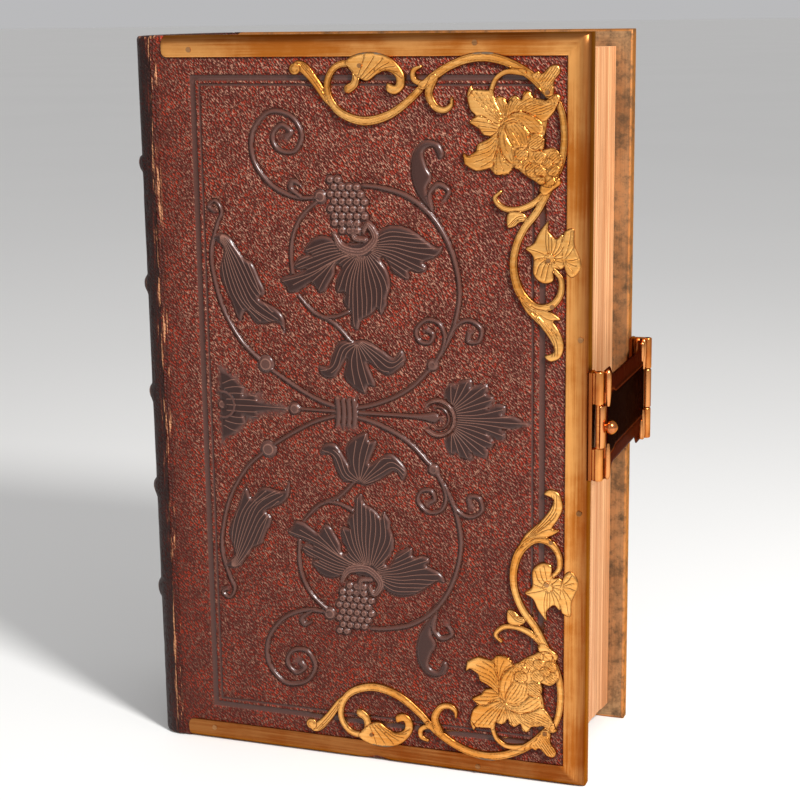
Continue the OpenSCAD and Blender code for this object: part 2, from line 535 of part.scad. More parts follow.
module hinge_pin() color(DARK_BRASS) post(back_axis_x, cover_mid_y, hinge_pin_d, -clasp_l / 2, clasp_l / 2);

// Clasp plate: flared ends, bevelled long edges, a knuckle and a tongue over the bar
plate_y = cover_mid_y - knuckle_d / 2 - 0.2;
plate_waist = clasp_l / 2 - 2;
hook_r = hasp_x + hasp_t - front_axis_x;
module finger(y, s, l, d) {
    translate([hasp_x + hasp_t - 0.15, y, clasp_z + s * clasp_l / 2]) mirror([0, 0, s > 0 ? 1 : 0])
        cylinder(l, d1 = d, d2 = d * 0.45, $fn = 16);
}
module hasp() color(DARK_BRASS) {
    half_l = clasp_l / 2;
    difference() {
        union() {
            intersection() {
                translate([hasp_x, 0, clasp_z]) rotate([90, 0, 90]) linear_extrude(hasp_t)
                    polygon([for (s = [1, -1], q = [[1, half_l], [0.74, half_l], [0.66, plate_waist + 0.4],
                        [0.58, plate_waist], [-0.58, plate_waist], [-0.66, plate_waist + 0.4], [-0.74, half_l],
                        [-1, half_l]]) [s * q[0] * plate_y, s * q[1]]]);
                translate([hasp_x, plate_y, clasp_z]) rotate([90, 0, 0]) linear_extrude(2 * plate_y)
                    polygon([[0, -half_l], [hasp_t * 0.45, -half_l], [hasp_t, -plate_waist + 3.3],
                        [hasp_t, plate_waist - 3.3], [hasp_t * 0.45, half_l], [0, half_l]]);
            }
            // tongue over the bar
            difference() {
                post(front_axis_x, -cover_mid_y, 2 * hook_r, -knuckle_l / 2, knuckle_l / 2);
                translate([fore_x - 5, -cover_mid_y - 5, clasp_z - 20]) cube([front_axis_x - fore_x + 5, 10, 40]);
                translate([fore_x - 5, -cover_mid_y - 5, clasp_z - 20])
                    cube([hasp_x - fore_x + 5, 5, 40]);
            }
            translate([hasp_x, -cover_mid_y, clasp_z - knuckle_l / 2])
                cube([hasp_t, knuckle_d, knuckle_l]);
            // knuckle on the pin and its neck
            post(back_axis_x, cover_mid_y, knuckle_d, -knuckle_l / 2, knuckle_l / 2);
            translate([hasp_x, plate_y - 0.5, clasp_z - knuckle_l / 2])
                cube([hasp_t, cover_mid_y - plate_y + 0.5, knuckle_l]);
            for (s = [1, -1]) {
                finger(-plate_y + 0.7, s, clasp_l / 2 - knuckle_l / 2, 1.3);
                finger(plate_y - 0.7, s, clasp_l / 2 - knuckle_l / 2, 1.3);
                finger(plate_y - 2.2, s, clasp_l / 2 - knuckle_l / 2 - 1.5, 1.1);
            }
        }
        post(back_axis_x, cover_mid_y, hinge_pin_d + 2 * run_gap, -clasp_l, clasp_l);
        post(front_axis_x, -cover_mid_y, 2 * bar_reach, -clasp_l, clasp_l);
    }
}
module clasp_knob() color(COPPER) {
    r = knob_d / 2;
    translate([hasp_x + hasp_t, -cover_mid_y, clasp_z]) rotate([0, 90, 0]) rotate_extrude($fn = 32)
        polygon(concat([[0, 0], [r * 0.55, 0], [r * 0.55, knob_l * 0.16]],
            [for (a = [-48 : 16 : 80]) [r * cos(a), knob_l * (0.55 + 0.43 * sin(a))]],
            [[0, knob_l]]));
}

placed() page_block();
placed() head_band();
placed() tail_band();
placed() spine_leather();
placed() front_board();
placed() front_lining();
placed() front_rim();
placed() front_rim_pins();
placed() head_corner_mount();
placed() tail_corner_mount();
placed() mount_pins();
placed() catch_plate();
placed() catch_bar();
placed() back_board();
placed() back_lining();
placed() back_rim();
placed() back_rim_pins();
placed() clasp_leaf();
placed() hinge_pin();
placed() hasp();
placed() clasp_knob();
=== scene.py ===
import math

import bpy
import numpy as np
from mathutils import Matrix, Vector
from mathutils.geometry import delaunay_2d_cdt


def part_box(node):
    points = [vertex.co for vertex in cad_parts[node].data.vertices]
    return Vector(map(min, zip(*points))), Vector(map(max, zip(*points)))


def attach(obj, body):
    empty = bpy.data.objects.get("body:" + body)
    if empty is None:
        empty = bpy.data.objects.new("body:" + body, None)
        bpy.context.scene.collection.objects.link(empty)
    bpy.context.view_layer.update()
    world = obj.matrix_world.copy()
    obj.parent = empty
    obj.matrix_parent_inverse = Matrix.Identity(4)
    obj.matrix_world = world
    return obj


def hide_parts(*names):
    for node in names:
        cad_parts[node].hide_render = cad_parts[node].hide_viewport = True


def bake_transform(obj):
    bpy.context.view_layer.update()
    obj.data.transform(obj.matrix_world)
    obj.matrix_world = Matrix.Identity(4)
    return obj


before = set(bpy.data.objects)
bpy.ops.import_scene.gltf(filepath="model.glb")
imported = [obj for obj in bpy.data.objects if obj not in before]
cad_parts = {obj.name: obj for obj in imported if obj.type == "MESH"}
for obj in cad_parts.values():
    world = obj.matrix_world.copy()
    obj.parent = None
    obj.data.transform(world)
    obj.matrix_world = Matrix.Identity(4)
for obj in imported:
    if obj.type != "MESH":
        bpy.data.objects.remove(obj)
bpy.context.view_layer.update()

# Sizes of the book in millimetres. X runs from the spine to the fore-edge, Y from the
# front cover to the back cover and Z up from the tail, all from the book's middle line.
MM = 0.001
COVER_H = 152.0
FORE_X = 49.0        # fore-edge of the covers
JOINT_X = -42.4      # edge of the boards at the joint
SPINE_X = -42.9      # where the spine's section starts
RIM_X0 = -40.2       # end of the brass rims
FLANGE = 4.4         # width of a rim on the cover's face
IN_Y = 16.8          # inner face of the covers
OUT_Y = 21.3         # outer face of the rims
FIELD_Y = 20.9       # face of the leather
RIM_T = 0.6          # thickness of a rim
PLAY = 0.15          # between the pages and each cover
SQUARE = 3.5         # how far the covers stand past the pages
FRAME_MID = 3.1      # middle of the stamped frame


def corners(node):
    low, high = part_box(node)
    return np.array(low) / MM, np.array(high) / MM


front_rim_low, front_rim_high = corners("front_rim")
back_rim_high = corners("back_rim")[1]
SHIFT = np.array([front_rim_high[0] - FORE_X, (front_rim_low[1] + back_rim_high[1]) / 2, 0])


def in_frame(point):
    """Point of the book in the shared frame, in metres."""
    return Vector((np.array(point, float) + SHIFT) * MM)


# Camera at the photograph's place
PICTURE = 800        # pixels across
SENSOR = 36
LENS_PIXELS = 1751.6
CAMERA_AT = (125.8, -347.4, 156.5)
CAMERA_TURN = 19.5
CAMERA_DROP = 12.57
CAMERA_ROLL = -0.8


def add_camera():
    data = bpy.data.cameras.new("camera")
    data.sensor_width = SENSOR
    data.lens = SENSOR * LENS_PIXELS / PICTURE
    data.clip_start = 0.01
    data.clip_end = 20
    camera = bpy.data.objects.new("camera", data)
    bpy.context.collection.objects.link(camera)
    turn, drop, roll = (math.radians(a) for a in (CAMERA_TURN, CAMERA_DROP, CAMERA_ROLL))
    level = math.cos(drop)
    ahead = Vector((-math.sin(turn) * level, math.cos(turn) * level, -math.sin(drop)))
    camera.matrix_world = (Matrix.Translation(in_frame(CAMERA_AT))
                           @ ahead.to_track_quat("-Z", "Y").to_matrix().to_4x4()
                           @ Matrix.Rotation(roll, 4, "Z"))
    bpy.context.scene.camera = camera


add_camera()


def linear(value):
    """Share of light for a value of 0 to 255, as a paint chart gives it."""
    return ((value / 255 + 0.055) / 1.055) ** 2.4 if value > 10 else value / 3295


def colour(red, green, blue):
    return linear(red), linear(green), linear(blue), 1.0


# Materials

class Value:
    """A number that a material works out over the surface; Python arithmetic adds Math nodes."""

    def __init__(self, finish, socket):
        self.finish = finish
        self.socket = socket

    def math(self, operation, other, first=None):
        inputs = {0: self if first is None else first, 1: other}
        return self.finish.node("ShaderNodeMath", {"operation": operation}, inputs)

    def __add__(self, other):
        return self.math("ADD", other)

    def __sub__(self, other):
        return self.math("SUBTRACT", other)

    def __rsub__(self, other):
        return self.math("SUBTRACT", self, first=other)

    def __mul__(self, other):
        return self.math("MULTIPLY", other)

    __radd__ = __add__
    __rmul__ = __mul__

    def most(self, other):
        return self.math("MAXIMUM", other)

    def least(self, other):
        return self.math("MINIMUM", other)

    def step(self, low, high, start=0.0, end=1.0):
        """Smooth step from start at low to end at high."""
        limits = {"Value": self, "From Min": low, "From Max": high, "To Min": start, "To Max": end}
        return self.finish.node("ShaderNodeMapRange", {"interpolation_type": "SMOOTHSTEP"}, limits)


class Finish:
    """A procedural material on one Principled shader."""

    def __init__(self, name, roughness=0.5, metallic=0.0, **constants):
        self.material = bpy.data.materials.new(name)
        self.material.use_nodes = True
        self.tree = self.material.node_tree
        self.shader = self.tree.nodes["Principled BSDF"]
        self.set(Roughness=roughness, Metallic=metallic)
        for socket, value in constants.items():
            self.shader.inputs[socket.replace("_", " ")].default_value = value
        coordinates = self.tree.nodes.new("ShaderNodeTexCoord")
        self.spot = Value(self, coordinates.outputs["Object"])

    def link(self, socket, value):
        if isinstance(value, Value):
            self.tree.links.new(value.socket, socket)
        else:
            socket.default_value = value

    def node(self, kind, settings, inputs, output=0):
        """Any node: its settings are set first, then the values or links of its sockets."""
        made = self.tree.nodes.new(kind)
        for name, value in settings.items():
            setattr(made, name, value)
        for socket, value in inputs.items():
            self.link(made.inputs[socket], value)
        return Value(self, made.outputs[output])

    def set(self, **values):
        for socket, value in values.items():
            self.link(self.shader.inputs[socket.replace("_", " ")], value)

    def part(self, axis):
        """One of the three coordinates of the surface, in metres."""
        return self.node("ShaderNodeSeparateXYZ", {}, {0: self.spot}, "XYZ".index(axis))

    def laid(self, sizes, turn=0):
        """The surface's own coordinates in steps of these sizes, with X turned down towards -Z."""
        tilt = (0, math.radians(turn), 0)
        steps = {"Vector": self.spot, "Scale": [s * MM for s in sizes], "Rotation": tilt}
        return self.node("ShaderNodeMapping", {"vector_type": "TEXTURE"}, steps)

    def noise(self, size, detail=3.0, rough=0.55, stretch=(1, 1, 1), output=0, turn=0):
        """Cloudy pattern whose patches are about size millimetres."""
        where = self.laid([size / s for s in stretch], turn)
        look = {"Vector": where, "Scale": 1.0, "Detail": detail, "Roughness": rough}
        return self.node("ShaderNodeTexNoise", {}, look, output)

    def mark(self, name):
        """Number painted on the mesh's points."""
        return self.node("ShaderNodeAttribute", {"attribute_name": name}, {}, "Fac")

    def mix(self, share, first, second):
        return self.node("ShaderNodeMix", {"data_type": "RGBA"}, {0: share, 6: first, 7: second}, 2)

    def ridges(self, height, depth):
        """Bump of the surface, where a height of 1 stands depth millimetres."""
        bump = {"Height": height, "Distance": depth * MM, "Strength": 1.0}
        self.set(Normal=self.node("ShaderNodeBump", {}, bump))


GRAIN = (0.86, 3.0, 0.52)      # size of one cell of the leather's grain
GRAIN_TURN = 48                # its lie, in degrees


def grained_leather():
    """Goatskin with red pits between pale ridges that are partly wear and partly a painted sheen; darker and
    smooth where it is stamped.
    """
    f = Finish("grained_leather", Specular_IOR_Level=0.22, Coat_Roughness=0.22)
    tooled, dark, wear_and_glint, spine, line = map(f.mark, ("tooled", "dark", "wear_and_glint", "spine", "line"))
    plain = 1 - tooled
    # painted light falloff: the pale ridges fade towards the joint and towards the tail, where the light
    # falls weaker
    painted_falloff = f.part("X").step(-0.0445, -0.034, 0.35, 1.0) * f.part("Z").step(0.0, 0.11, 0.6, 1.0)
    broad = f.noise(26, 3.0)
    blotch = f.noise(5, 4.0, 0.6)
    fine = f.noise(0.2, 2.0)
    wobble = f.noise(1.6, 2.0, output="Color")
    spot = f.node("ShaderNodeVectorMath", {"operation": "MULTIPLY_ADD"},
                  {0: wobble, 1: (0.6, 0.6, 0.6), 2: f.laid(GRAIN, GRAIN_TURN)})
    cell = f.node("ShaderNodeTexVoronoi", {}, {"Vector": spot, "Scale": 1.0, "Randomness": 0.8})
    pit = cell.step(0.26, 0.5, 1.0, 0.0)
    wrinkle = f.noise(0.17, 2.0, 0.6, stretch=(0.25, 0.5, 1), turn=GRAIN_TURN)
    # pale ridges: partly wear on the grain's tops, partly a painted sheen
    pale = wrinkle.step(0.52, 0.63) * cell.step(0.3, 0.5) * painted_falloff
    ridge = f.mix(pale * (0.3 + broad), colour(78, 30, 19), colour(204, 146, 120))
    red = f.mix(blotch.step(0.35, 0.7), colour(100, 27, 13), colour(160, 48, 21))
    stamped = f.mix(dark, colour(88, 52, 42), colour(34, 12, 9))
    # painted highlight: the lines on the stamped leaves are painted light, where their raised ridges catch
    # the light
    stamped = f.mix(line * 0.85, stamped, colour(150, 104, 88))
    skin = f.mix(tooled, f.mix(pit, ridge, red), stamped)
    # painted shade: the spine is painted nearly black, and the joint strips half so, for the side turned away
    # from the light
    skin = f.mix(spine * 0.85, skin, colour(20, 8, 6))
    # the orange-red creases and the tan cracks are partly real wear and partly painted glints, streaked
    # upright
    crease = f.noise(0.5, 4.0, 0.65, stretch=(1, 1, 0.07))
    cracks_and_glints = (wear_and_glint * 0.3 + crease).step(0.74, 0.82)
    skin = f.mix((wear_and_glint * crease.step(0.5, 0.62)).least(0.8), skin, colour(122, 42, 22))
    skin = f.mix(cracks_and_glints, skin, colour(204, 142, 100))
    f.set(Base_Color=skin, Coat_Weight=0.5 * tooled * (1 - 0.7 * dark),
          Roughness=0.36 + 0.14 * pit * plain + 0.12 * blotch - 0.08 * tooled + 0.1 * fine)
    grain = (cell.step(0.1, 0.6) + 0.6 * wrinkle) * plain
    f.ridges(grain + 0.1 * fine + 0.4 * line + 0.5 * wear_and_glint * crease, 0.15)
    return f.material


def aged_brass(name, light, deep, brown, grey, roughness, spots=0.55, brushed=0.02, soft=0.07,
               glance=(0.95, 0.6, 0.3, 1)):
    """Brass that has aged: brushed along its length, with grey tarnish in places; its edge tone is painted:
    shade and dark reflection at the edges of rims, mounts and clasp leaves, and a painted highlight on the
    dark clasp.
    """
    f = Finish(name, metallic=1.0, Specular_Tint=glance)
    broad = f.noise(16, 3.0, 0.55)
    cloud = f.noise(2.4, 5.0, 0.65)
    speck = f.noise(0.5, 4.0, 0.65)
    upright = f.mark("upright")
    along = f.noise(0.4, 3.0, 0.6, stretch=(0.02, 1, 1))
    up = f.noise(0.4, 3.0, 0.6, stretch=(1, 1, 0.02))
    streak = along * (1 - upright) + up * upright
    bright = (broad * 0.55 + cloud * 0.15 + streak * 0.3).step(0.4, 0.62)
    metal = f.mix(bright, colour(*light), colour(*deep))
    # painted shade and reflection on edges, and a painted highlight where the edge tone is lighter than the
    # metal
    metal = f.mix((f.mark("edge") * (0.75 + 0.3 * streak)).least(1.0), metal, colour(*brown))
    tarnish = (cloud * 0.6 + broad * 0.2 + speck * 0.2 + 0.3 * f.mark("stained")).step(spots, spots + soft)
    metal = f.mix(tarnish * 0.9, metal, colour(*grey))
    # engraved lines turn brown as patina in their hollows; the dark mark also brings the painted shade of the
    # creases round overlapping shapes
    metal = f.mix(f.mark("engraved").most(f.mark("dark")) * 0.8, metal, colour(*brown))
    f.set(Base_Color=metal, Roughness=roughness + 0.08 * streak + 0.25 * tarnish + 0.06 * cloud)
    f.ridges(0.3 * streak + 0.3 * cloud + 0.2 * speck, brushed)
    return f.material


def page_edges():
    """Gilt edges worn to a peach tone, with the lines of the leaves; bare paper on the outer two."""
    f = Finish("page_edges", roughness=0.5)
    apart = f.part("Y") - SHIFT[1] * MM
    apart = apart.most(0 - apart)
    bare = apart.step((IN_Y - PLAY - 0.02) * MM, (IN_Y - PLAY - 0.005) * MM)
    leaf = f.noise(0.24, 3.0, 0.7, stretch=(0.004, 1, 0.004))
    section = f.noise(1.8, 2.0, 0.5, stretch=(0.01, 1, 0.01))
    cloud = f.noise(14, 4.0, 0.6)
    tone = f.mix(leaf.step(0.34, 0.66), colour(196, 122, 72), colour(250, 194, 140))
    tone = f.mix(section.step(0.5, 0.72) * 0.55, tone, colour(188, 114, 62))
    tone = f.mix(cloud.step(0.5, 0.75) * 0.35, tone, colour(200, 142, 96))
    paper = f.mix(cloud.step(0.4, 0.7), colour(230, 218, 188), colour(216, 200, 166))
    f.set(Base_Color=f.mix(bare, tone, paper), Metallic=(0.2 + 0.3 * cloud) * (1 - bare),
          Roughness=0.42 + 0.2 * leaf + 0.2 * bare)
    f.ridges((leaf + 0.8 * section) * (1 - bare), 0.06)
    return f.material


def lining_paper():
    f = Finish("lining_paper", roughness=0.7)
    cloud = f.noise(12, 5.0, 0.6)
    fibre = f.noise(0.5, 3.0, 0.6)
    foxing = f.noise(3.0, 3.0, 0.5).step(0.66, 0.74)
    tone = f.mix(cloud.step(0.35, 0.7), colour(226, 214, 184), colour(210, 192, 156))
    tone = f.mix(foxing * 0.45, tone, colour(166, 122, 76))
    f.set(Base_Color=tone, Roughness=0.62 + 0.15 * fibre)
    f.ridges(fibre, 0.03)
    return f.material


def silk_thread():
    f = Finish("silk_thread", roughness=0.45, Sheen_Weight=0.3)
    strand = f.noise(0.12, 2.0, 0.5, stretch=(1, 0.3, 1))
    tone = f.mix(f.mark("turn"), colour(150, 48, 34), colour(214, 186, 136))
    tone = f.mix(strand.step(0.3, 0.7) * 0.4, tone, colour(96, 40, 30))
    f.set(Base_Color=tone, Roughness=0.4 + 0.2 * strand)
    f.ridges(strand, 0.03)
    return f.material


LEATHER = grained_leather()
RIM_BRASS = aged_brass("rim_brass", (238, 168, 94), (194, 112, 40), (96, 36, 12), (124, 98, 66), 0.3, 0.66)
MOUNT_BRASS = aged_brass("mount_brass", (246, 184, 106), (218, 142, 62), (96, 46, 16), (128, 116, 98),
                         0.25, 0.74, 0.006)
BACK_BRASS = aged_brass("back_rim_brass", (194, 156, 114), (150, 116, 82), (208, 134, 70), (92, 78, 62),
                        0.42, 0.42, soft=0.24)
# painted reflection: this brass is painted nearly black with a dim shine, for the dark surroundings a
# polished plate mirrors; its edge tone is light, so its edge marks paint highlights
BRASS_PAINTED_DARK = aged_brass("dark_brass", (74, 44, 28), (56, 32, 20), (222, 148, 90), (24, 15, 10),
                        0.2, 0.66, 0.01, glance=(0.2, 0.12, 0.08, 1))
HINGE_BRASS = aged_brass("hinge_brass", (226, 152, 84), (176, 98, 44), (136, 66, 26), (84, 56, 36), 0.22,
                         0.62)
COPPER = aged_brass("copper", (206, 132, 82), (168, 90, 46), (92, 40, 18), (80, 50, 36), 0.16, 0.7, 0.006)
PIN_BRASS = aged_brass("pin_brass", (176, 128, 84), (120, 78, 44), (60, 34, 18), (60, 44, 30), 0.3, 0.6)
PAGES = page_edges()
LINING = lining_paper()
SILK = silk_thread()


# Meshes

def build(name, points, faces, material, marks=None, crease=38):
    """Smooth mesh from points of the book in millimetres, with numbers painted on its points."""
    mesh = bpy.data.meshes.new(name)
    points = (np.asarray(points, float) + SHIFT) * MM
    mesh.from_pydata(points.tolist(), [], [list(map(int, f)) for f in faces])
    for mark, values in (marks or {}).items():
        layer = mesh.attributes.new(mark, "FLOAT", "POINT")
        layer.data.foreach_set("value", np.asarray(values, np.float32))
    mesh.shade_smooth()
    mesh.set_sharp_from_angle(angle=math.radians(crease))
    mesh.materials.append(material)
    made = bpy.data.objects.new(name, mesh)
    bpy.context.collection.objects.link(made)
    return made


def finish_piece(made, body, node):
    """The piece moves with its body and stands for that node."""
    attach(made, body)
    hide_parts(node)


def turned_over(faces):
    return [f[::-1] for f in faces]


def tube(rows, count):
    """Faces of a closed body through rows of count points, where each row is a ring."""
    faces = []
    for a in range(0, (rows - 1) * count, count):
        b = a + count
        faces += [(a + i, a + (i + 1) % count, b + (i + 1) % count, b + i) for i in range(count)]
    last = (rows - 1) * count
    return faces + [tuple(range(count))[::-1], tuple(range(last, last + count))]


def smooth(x, low, high):
    t = np.clip((x - low) / (high - low), 0, 1)
    return t * t * (3 - 2 * t)


def quarter(share):
    """How far a quarter round has fallen, from 1 at its edge to 0 at a share of 1."""
    return 1 - np.sqrt(np.clip(1 - (1 - share) ** 2, 0, 1))


def through(points, step, closed=False):
    """Smooth curve through the points, sampled about every step millimetres."""
    p = np.array(points, float)
    count = len(p)
    made = []
    for i in range(count if closed else count - 1):
        if closed:
            a, b, c, d = p[i - 1], p[i], p[(i + 1) % count], p[(i + 2) % count]
        else:
            a, b, c, d = p[max(i - 1, 0)], p[i], p[i + 1], p[min(i + 2, count - 1)]
        parts = max(1, int(math.ceil(np.linalg.norm((c - b)[:2]) / step)))
        t = (np.arange(parts) / parts)[:, None]
        made.append(0.5 * (2 * b + (c - a) * t + (2 * a - 5 * b + 4 * c - d) * t ** 2
                           + (3 * b - a - 3 * c + d) * t ** 3))
    if not closed:
        made.append(p[-1:])
    return np.concatenate(made)


MOST_PAIRS = 1500000     # of points and runs that are measured at a time


def from_runs(points, starts, runs):
    """Distance of each point from the nearest straight run, and its place: that run's number and share."""
    length2 = np.maximum((runs ** 2).sum(1), 1e-12)
    distance, place = np.empty(len(points)), np.empty(len(points))
    chunk = max(1, MOST_PAIRS // len(starts))
    for i in range(0, len(points), chunk):
        rel = points[i:i + chunk, None, :] - starts[None]
        t = np.clip((rel * runs).sum(2) / length2, 0, 1)
        square = ((rel - t[..., None] * runs) ** 2).sum(2)
        k = square.argmin(1)
        row = np.arange(len(k))
        distance[i:i + chunk] = np.sqrt(square[row, k])
        place[i:i + chunk] = k + t[row, k]
    return distance, place


def nearest(line, points, closed=False):
    """Distance of each point from a line of points, and its place along it."""
    line = line[:, :2]
    if closed:
        line = np.concatenate([line, line[:1]])
    return from_runs(points, line[:-1], np.diff(line, axis=0))


def away_from(lines, points):
    """Distance of each point from the nearest of several lines."""
    starts = np.concatenate([l[:-1] for l in lines])
    return from_runs(points, starts, np.concatenate([np.diff(l, axis=0) for l in lines]))[0]


def inside(outline, points):
    """Which points lie inside a closed outline."""
    found = np.zeros(len(points), bool)
    for (x0, z0), (x1, z1) in zip(outline, np.roll(outline, -1, 0)):
        if z0 == z1:
            continue
        crosses = (z0 > points[:, 1]) != (z1 > points[:, 1])
        found ^= crosses & (points[:, 0] < (x1 - x0) * (points[:, 1] - z0) / (z1 - z0) + x0)
    return found


def beside(line, off):
    """The line moved sideways by off millimetres at each point."""
    run = np.gradient(line[:, :2], axis=0)
    run /= np.maximum(np.linalg.norm(run, axis=1), 1e-9)[:, None]
    return line[:, :2] + np.stack([-run[:, 1], run[:, 0]], 1) * np.asarray(off).reshape(-1, 1)


def spaced(line, count):
    """The line's points again, count of them at even distances."""
    run = np.append(0, np.cumsum(np.linalg.norm(np.diff(line, axis=0), axis=1)))
    where = np.linspace(0, run[-1], count)
    return np.stack([np.interp(where, run, line[:, i]) for i in range(line.shape[1])], 1)


RIB_STEP = 0.5
FINE_STEP = 0.3


def spread(ribs, lines):
    """The ribs and, in each gap between two, further lines that flow from one to the other."""
    even = [spaced(through(r, RIB_STEP), 16) for r in ribs]
    made = []
    for a, b in zip(even, even[1:]):
        made += [a + (b - a) * k / lines for k in range(lines)]
    return [spaced(l, 2 + int(np.linalg.norm(l[-1] - l[0]) / FINE_STEP)) for l in made + even[-1:]]


def hatching(outline, angle, pitch):
    """Parallel straight lines over an outline."""
    turn = math.radians(angle)
    along = np.array([math.cos(turn), math.sin(turn)])
    across = np.array([-math.sin(turn), math.cos(turn)])
    middle = outline.mean(0)
    reach = np.abs(outline - middle).max() * 1.3
    offs = np.arange(-reach, reach, pitch) + pitch / 2
    count = 2 + int(reach / 0.15)
    return [middle + across * o + along * np.linspace(-reach, reach, count)[:, None] for o in offs]


STEM_LINE = 0.14         # half width of a line along a stem, as a share of the stem
LEAF_LINE = 0.13         # half widths of a leaf's lines and of a bead's ring
BEAD_LINE = 0.16


class Stem:
    """Rounded stem of changing width: each point is [x, z, width]."""

    def __init__(self, points, level=1.0, lines=(), round=2.2):
        self.line = through(points, FINE_STEP)
        self.level = level
        self.lines = lines
        self.round = round
        self.limits()

    def limits(self):
        self.box = self.line[:, :2].min(0), self.line[:, :2].max(0)
        self.reach = self.line[:, 2].max() / 2

    def moved(self, change):
        self.line = change(self.line)
        self.limits()
        return self

    def edge(self):
        half = self.line[:, 2] / 2
        ends = []
        for end, other in ((-1, -2), (0, 1)):
            tip, run = self.line[end, :2], self.line[end, :2] - self.line[other, :2]
            turn = math.atan2(run[1], run[0]) + np.radians([50, 0, -50])
            ends.append(tip + half[end] * np.stack([np.cos(turn), np.sin(turn)], 1))
        return np.concatenate([beside(self.line, half), ends[0], beside(self.line, -half)[::-1], ends[1]])

    def sown(self):
        """Points that its mesh needs."""
        half = self.line[:, 2] / 2
        shares = [0.3, 0.55, 0.75, 0.9, 1.0] + [s + o for s in self.lines for o in (-STEM_LINE, 0, STEM_LINE)]
        rows = [self.line[:, :2]]
        rows += [beside(self.line, s * half * share) for s in (1, -1) for share in shares]
        rows += [beside(self.line, s * (half + extra)) for s in (1, -1) for extra in (0.08, 0.3)]
        return np.concatenate(rows)

    def measure(self, points):
        """How deep inside it each point lies, its height there, and how dark and lined it is."""
        distance, place = nearest(self.line, points)
        half = np.interp(place, np.arange(len(self.line)), self.line[:, 2]) / 2
        share = np.clip(distance / half, 0, 1)
        rise = self.level * np.sqrt(np.clip(1 - share ** self.round, 0, 1))
        line = np.zeros(len(points))
        for at in self.lines:
            line = np.maximum(line, np.clip(1 - np.abs(share - at) / STEM_LINE, 0, 1))
        return {"depth": half - distance, "rise": rise, "dark": 0.0, "line": line}


class Leaf:
    """Leaf with a smooth outline; fine lines flow between its ribs, or hatch it."""

    reach = 0

    def __init__(self, outline, ribs=(), lines=3, level=1.0, dark=0.8, straight=False, cup=0.0, hatch=None,
                 shoulder=0.22, step=0.35):
        self.outline = np.array(outline, float) if straight else through(outline, step, True)
        self.lines = spread(ribs, lines) if ribs else []
        if hatch:
            self.lines += hatching(self.outline, *hatch)
        self.level = level
        self.dark = dark
        self.cup = cup
        self.shoulder = shoulder
        self.limits()

    def limits(self):
        self.box = self.outline.min(0), self.outline.max(0)

    def moved(self, change):
        self.outline = change(self.outline)
        self.lines = [change(l) for l in self.lines]
        self.limits()
        return self

    def edge(self):
        return self.outline

    def sown(self):
        closed = np.concatenate([self.outline[-1:], self.outline, self.outline[:1]])
        rows = [beside(closed, off)[1:-1] for off in (-0.3, -0.1, 0.0, 0.1, 0.3)]
        pitch = 0.34
        xs = np.arange(self.box[0][0], self.box[1][0], pitch)
        zs = np.arange(self.box[0][1], self.box[1][1], pitch * 0.87)
        x, z = np.meshgrid(xs, zs)
        x[1::2] += pitch / 2
        grid = np.stack([x.ravel(), z.ravel()], 1)
        grid = grid[inside(self.outline, grid)]
        grid = grid[nearest(self.outline, grid, True)[0] > 0.4]
        if self.lines:
            fine = np.concatenate([beside(l, off) for l in self.lines for off in (0, LEAF_LINE, -LEAF_LINE)])
            fine = fine[inside(self.outline, fine)]
            rows.append(fine[nearest(self.outline, fine, True)[0] > 0.14])
            grid = grid[away_from(self.lines, grid) > 0.24]
        return np.concatenate(rows + [grid])

    def measure(self, points):
        distance = nearest(self.outline, points, True)[0]
        depth = np.where(inside(self.outline, points), distance, -distance)
        rise = self.level * (1 - np.exp(-np.clip(depth, 0, None) / self.shoulder))
        rise = rise - self.cup * smooth(depth, 0.3, 1.4)
        line = np.zeros(len(points))
        if self.lines:
            line = np.clip(1 - away_from(self.lines, points) / LEAF_LINE, 0, 1) * smooth(depth, 0.1, 0.3)
        return {"depth": depth, "rise": rise, "dark": self.dark * smooth(depth, 0.15, 0.7), "line": line}


class Bead:
    """Round bead, with a ring pressed round its middle where it has one."""

    def __init__(self, x, z, radius, level=1.1, ring=0.6):
        self.centre = np.array([x, z], float)
        self.radius = self.reach = radius
        self.level = level
        self.ring = ring
        self.box = self.centre, self.centre

    def moved(self, change):
        self.centre = change(self.centre[None])[0]
        self.box = self.centre, self.centre
        return self

    def circle(self, r):
        a = np.linspace(0, 2 * np.pi, max(7, int(2 * np.pi * r / 0.26)), endpoint=False)
        return self.centre + r * np.stack([np.cos(a), np.sin(a)], 1)

    def edge(self):
        return self.circle(self.radius)

    def sown(self):
        r = self.radius
        steps = np.append(np.arange(0.2, r - 0.05, 0.22), [r, r + 0.1, r + 0.3])
        return np.concatenate([self.centre[None]] + [self.circle(s) for s in steps])

    def measure(self, points):
        distance = np.linalg.norm(points - self.centre, axis=1)
        share = np.clip(distance / self.radius, 0, 1)
        rise = self.level * np.sqrt(np.clip(1 - share ** 2.4, 0, 1))
        line = np.clip(1 - np.abs(distance - self.ring * self.radius) / BEAD_LINE, 0, 1) * (self.ring > 0)
        return {"depth": self.radius - distance, "rise": rise, "dark": 0.0, "line": line}


def mirrored(points):
    """The points with head and tail changed over."""
    made = np.array(points, float)
    made[:, 1] *= -1
    return made


def shifted(shapes, x, z):
    """The shapes moved along and up."""
    def change(points):
        made = np.array(points, float)
        made[:, 0] += x
        made[:, 1] += z
        return made
    return [s.moved(change) for s in shapes]


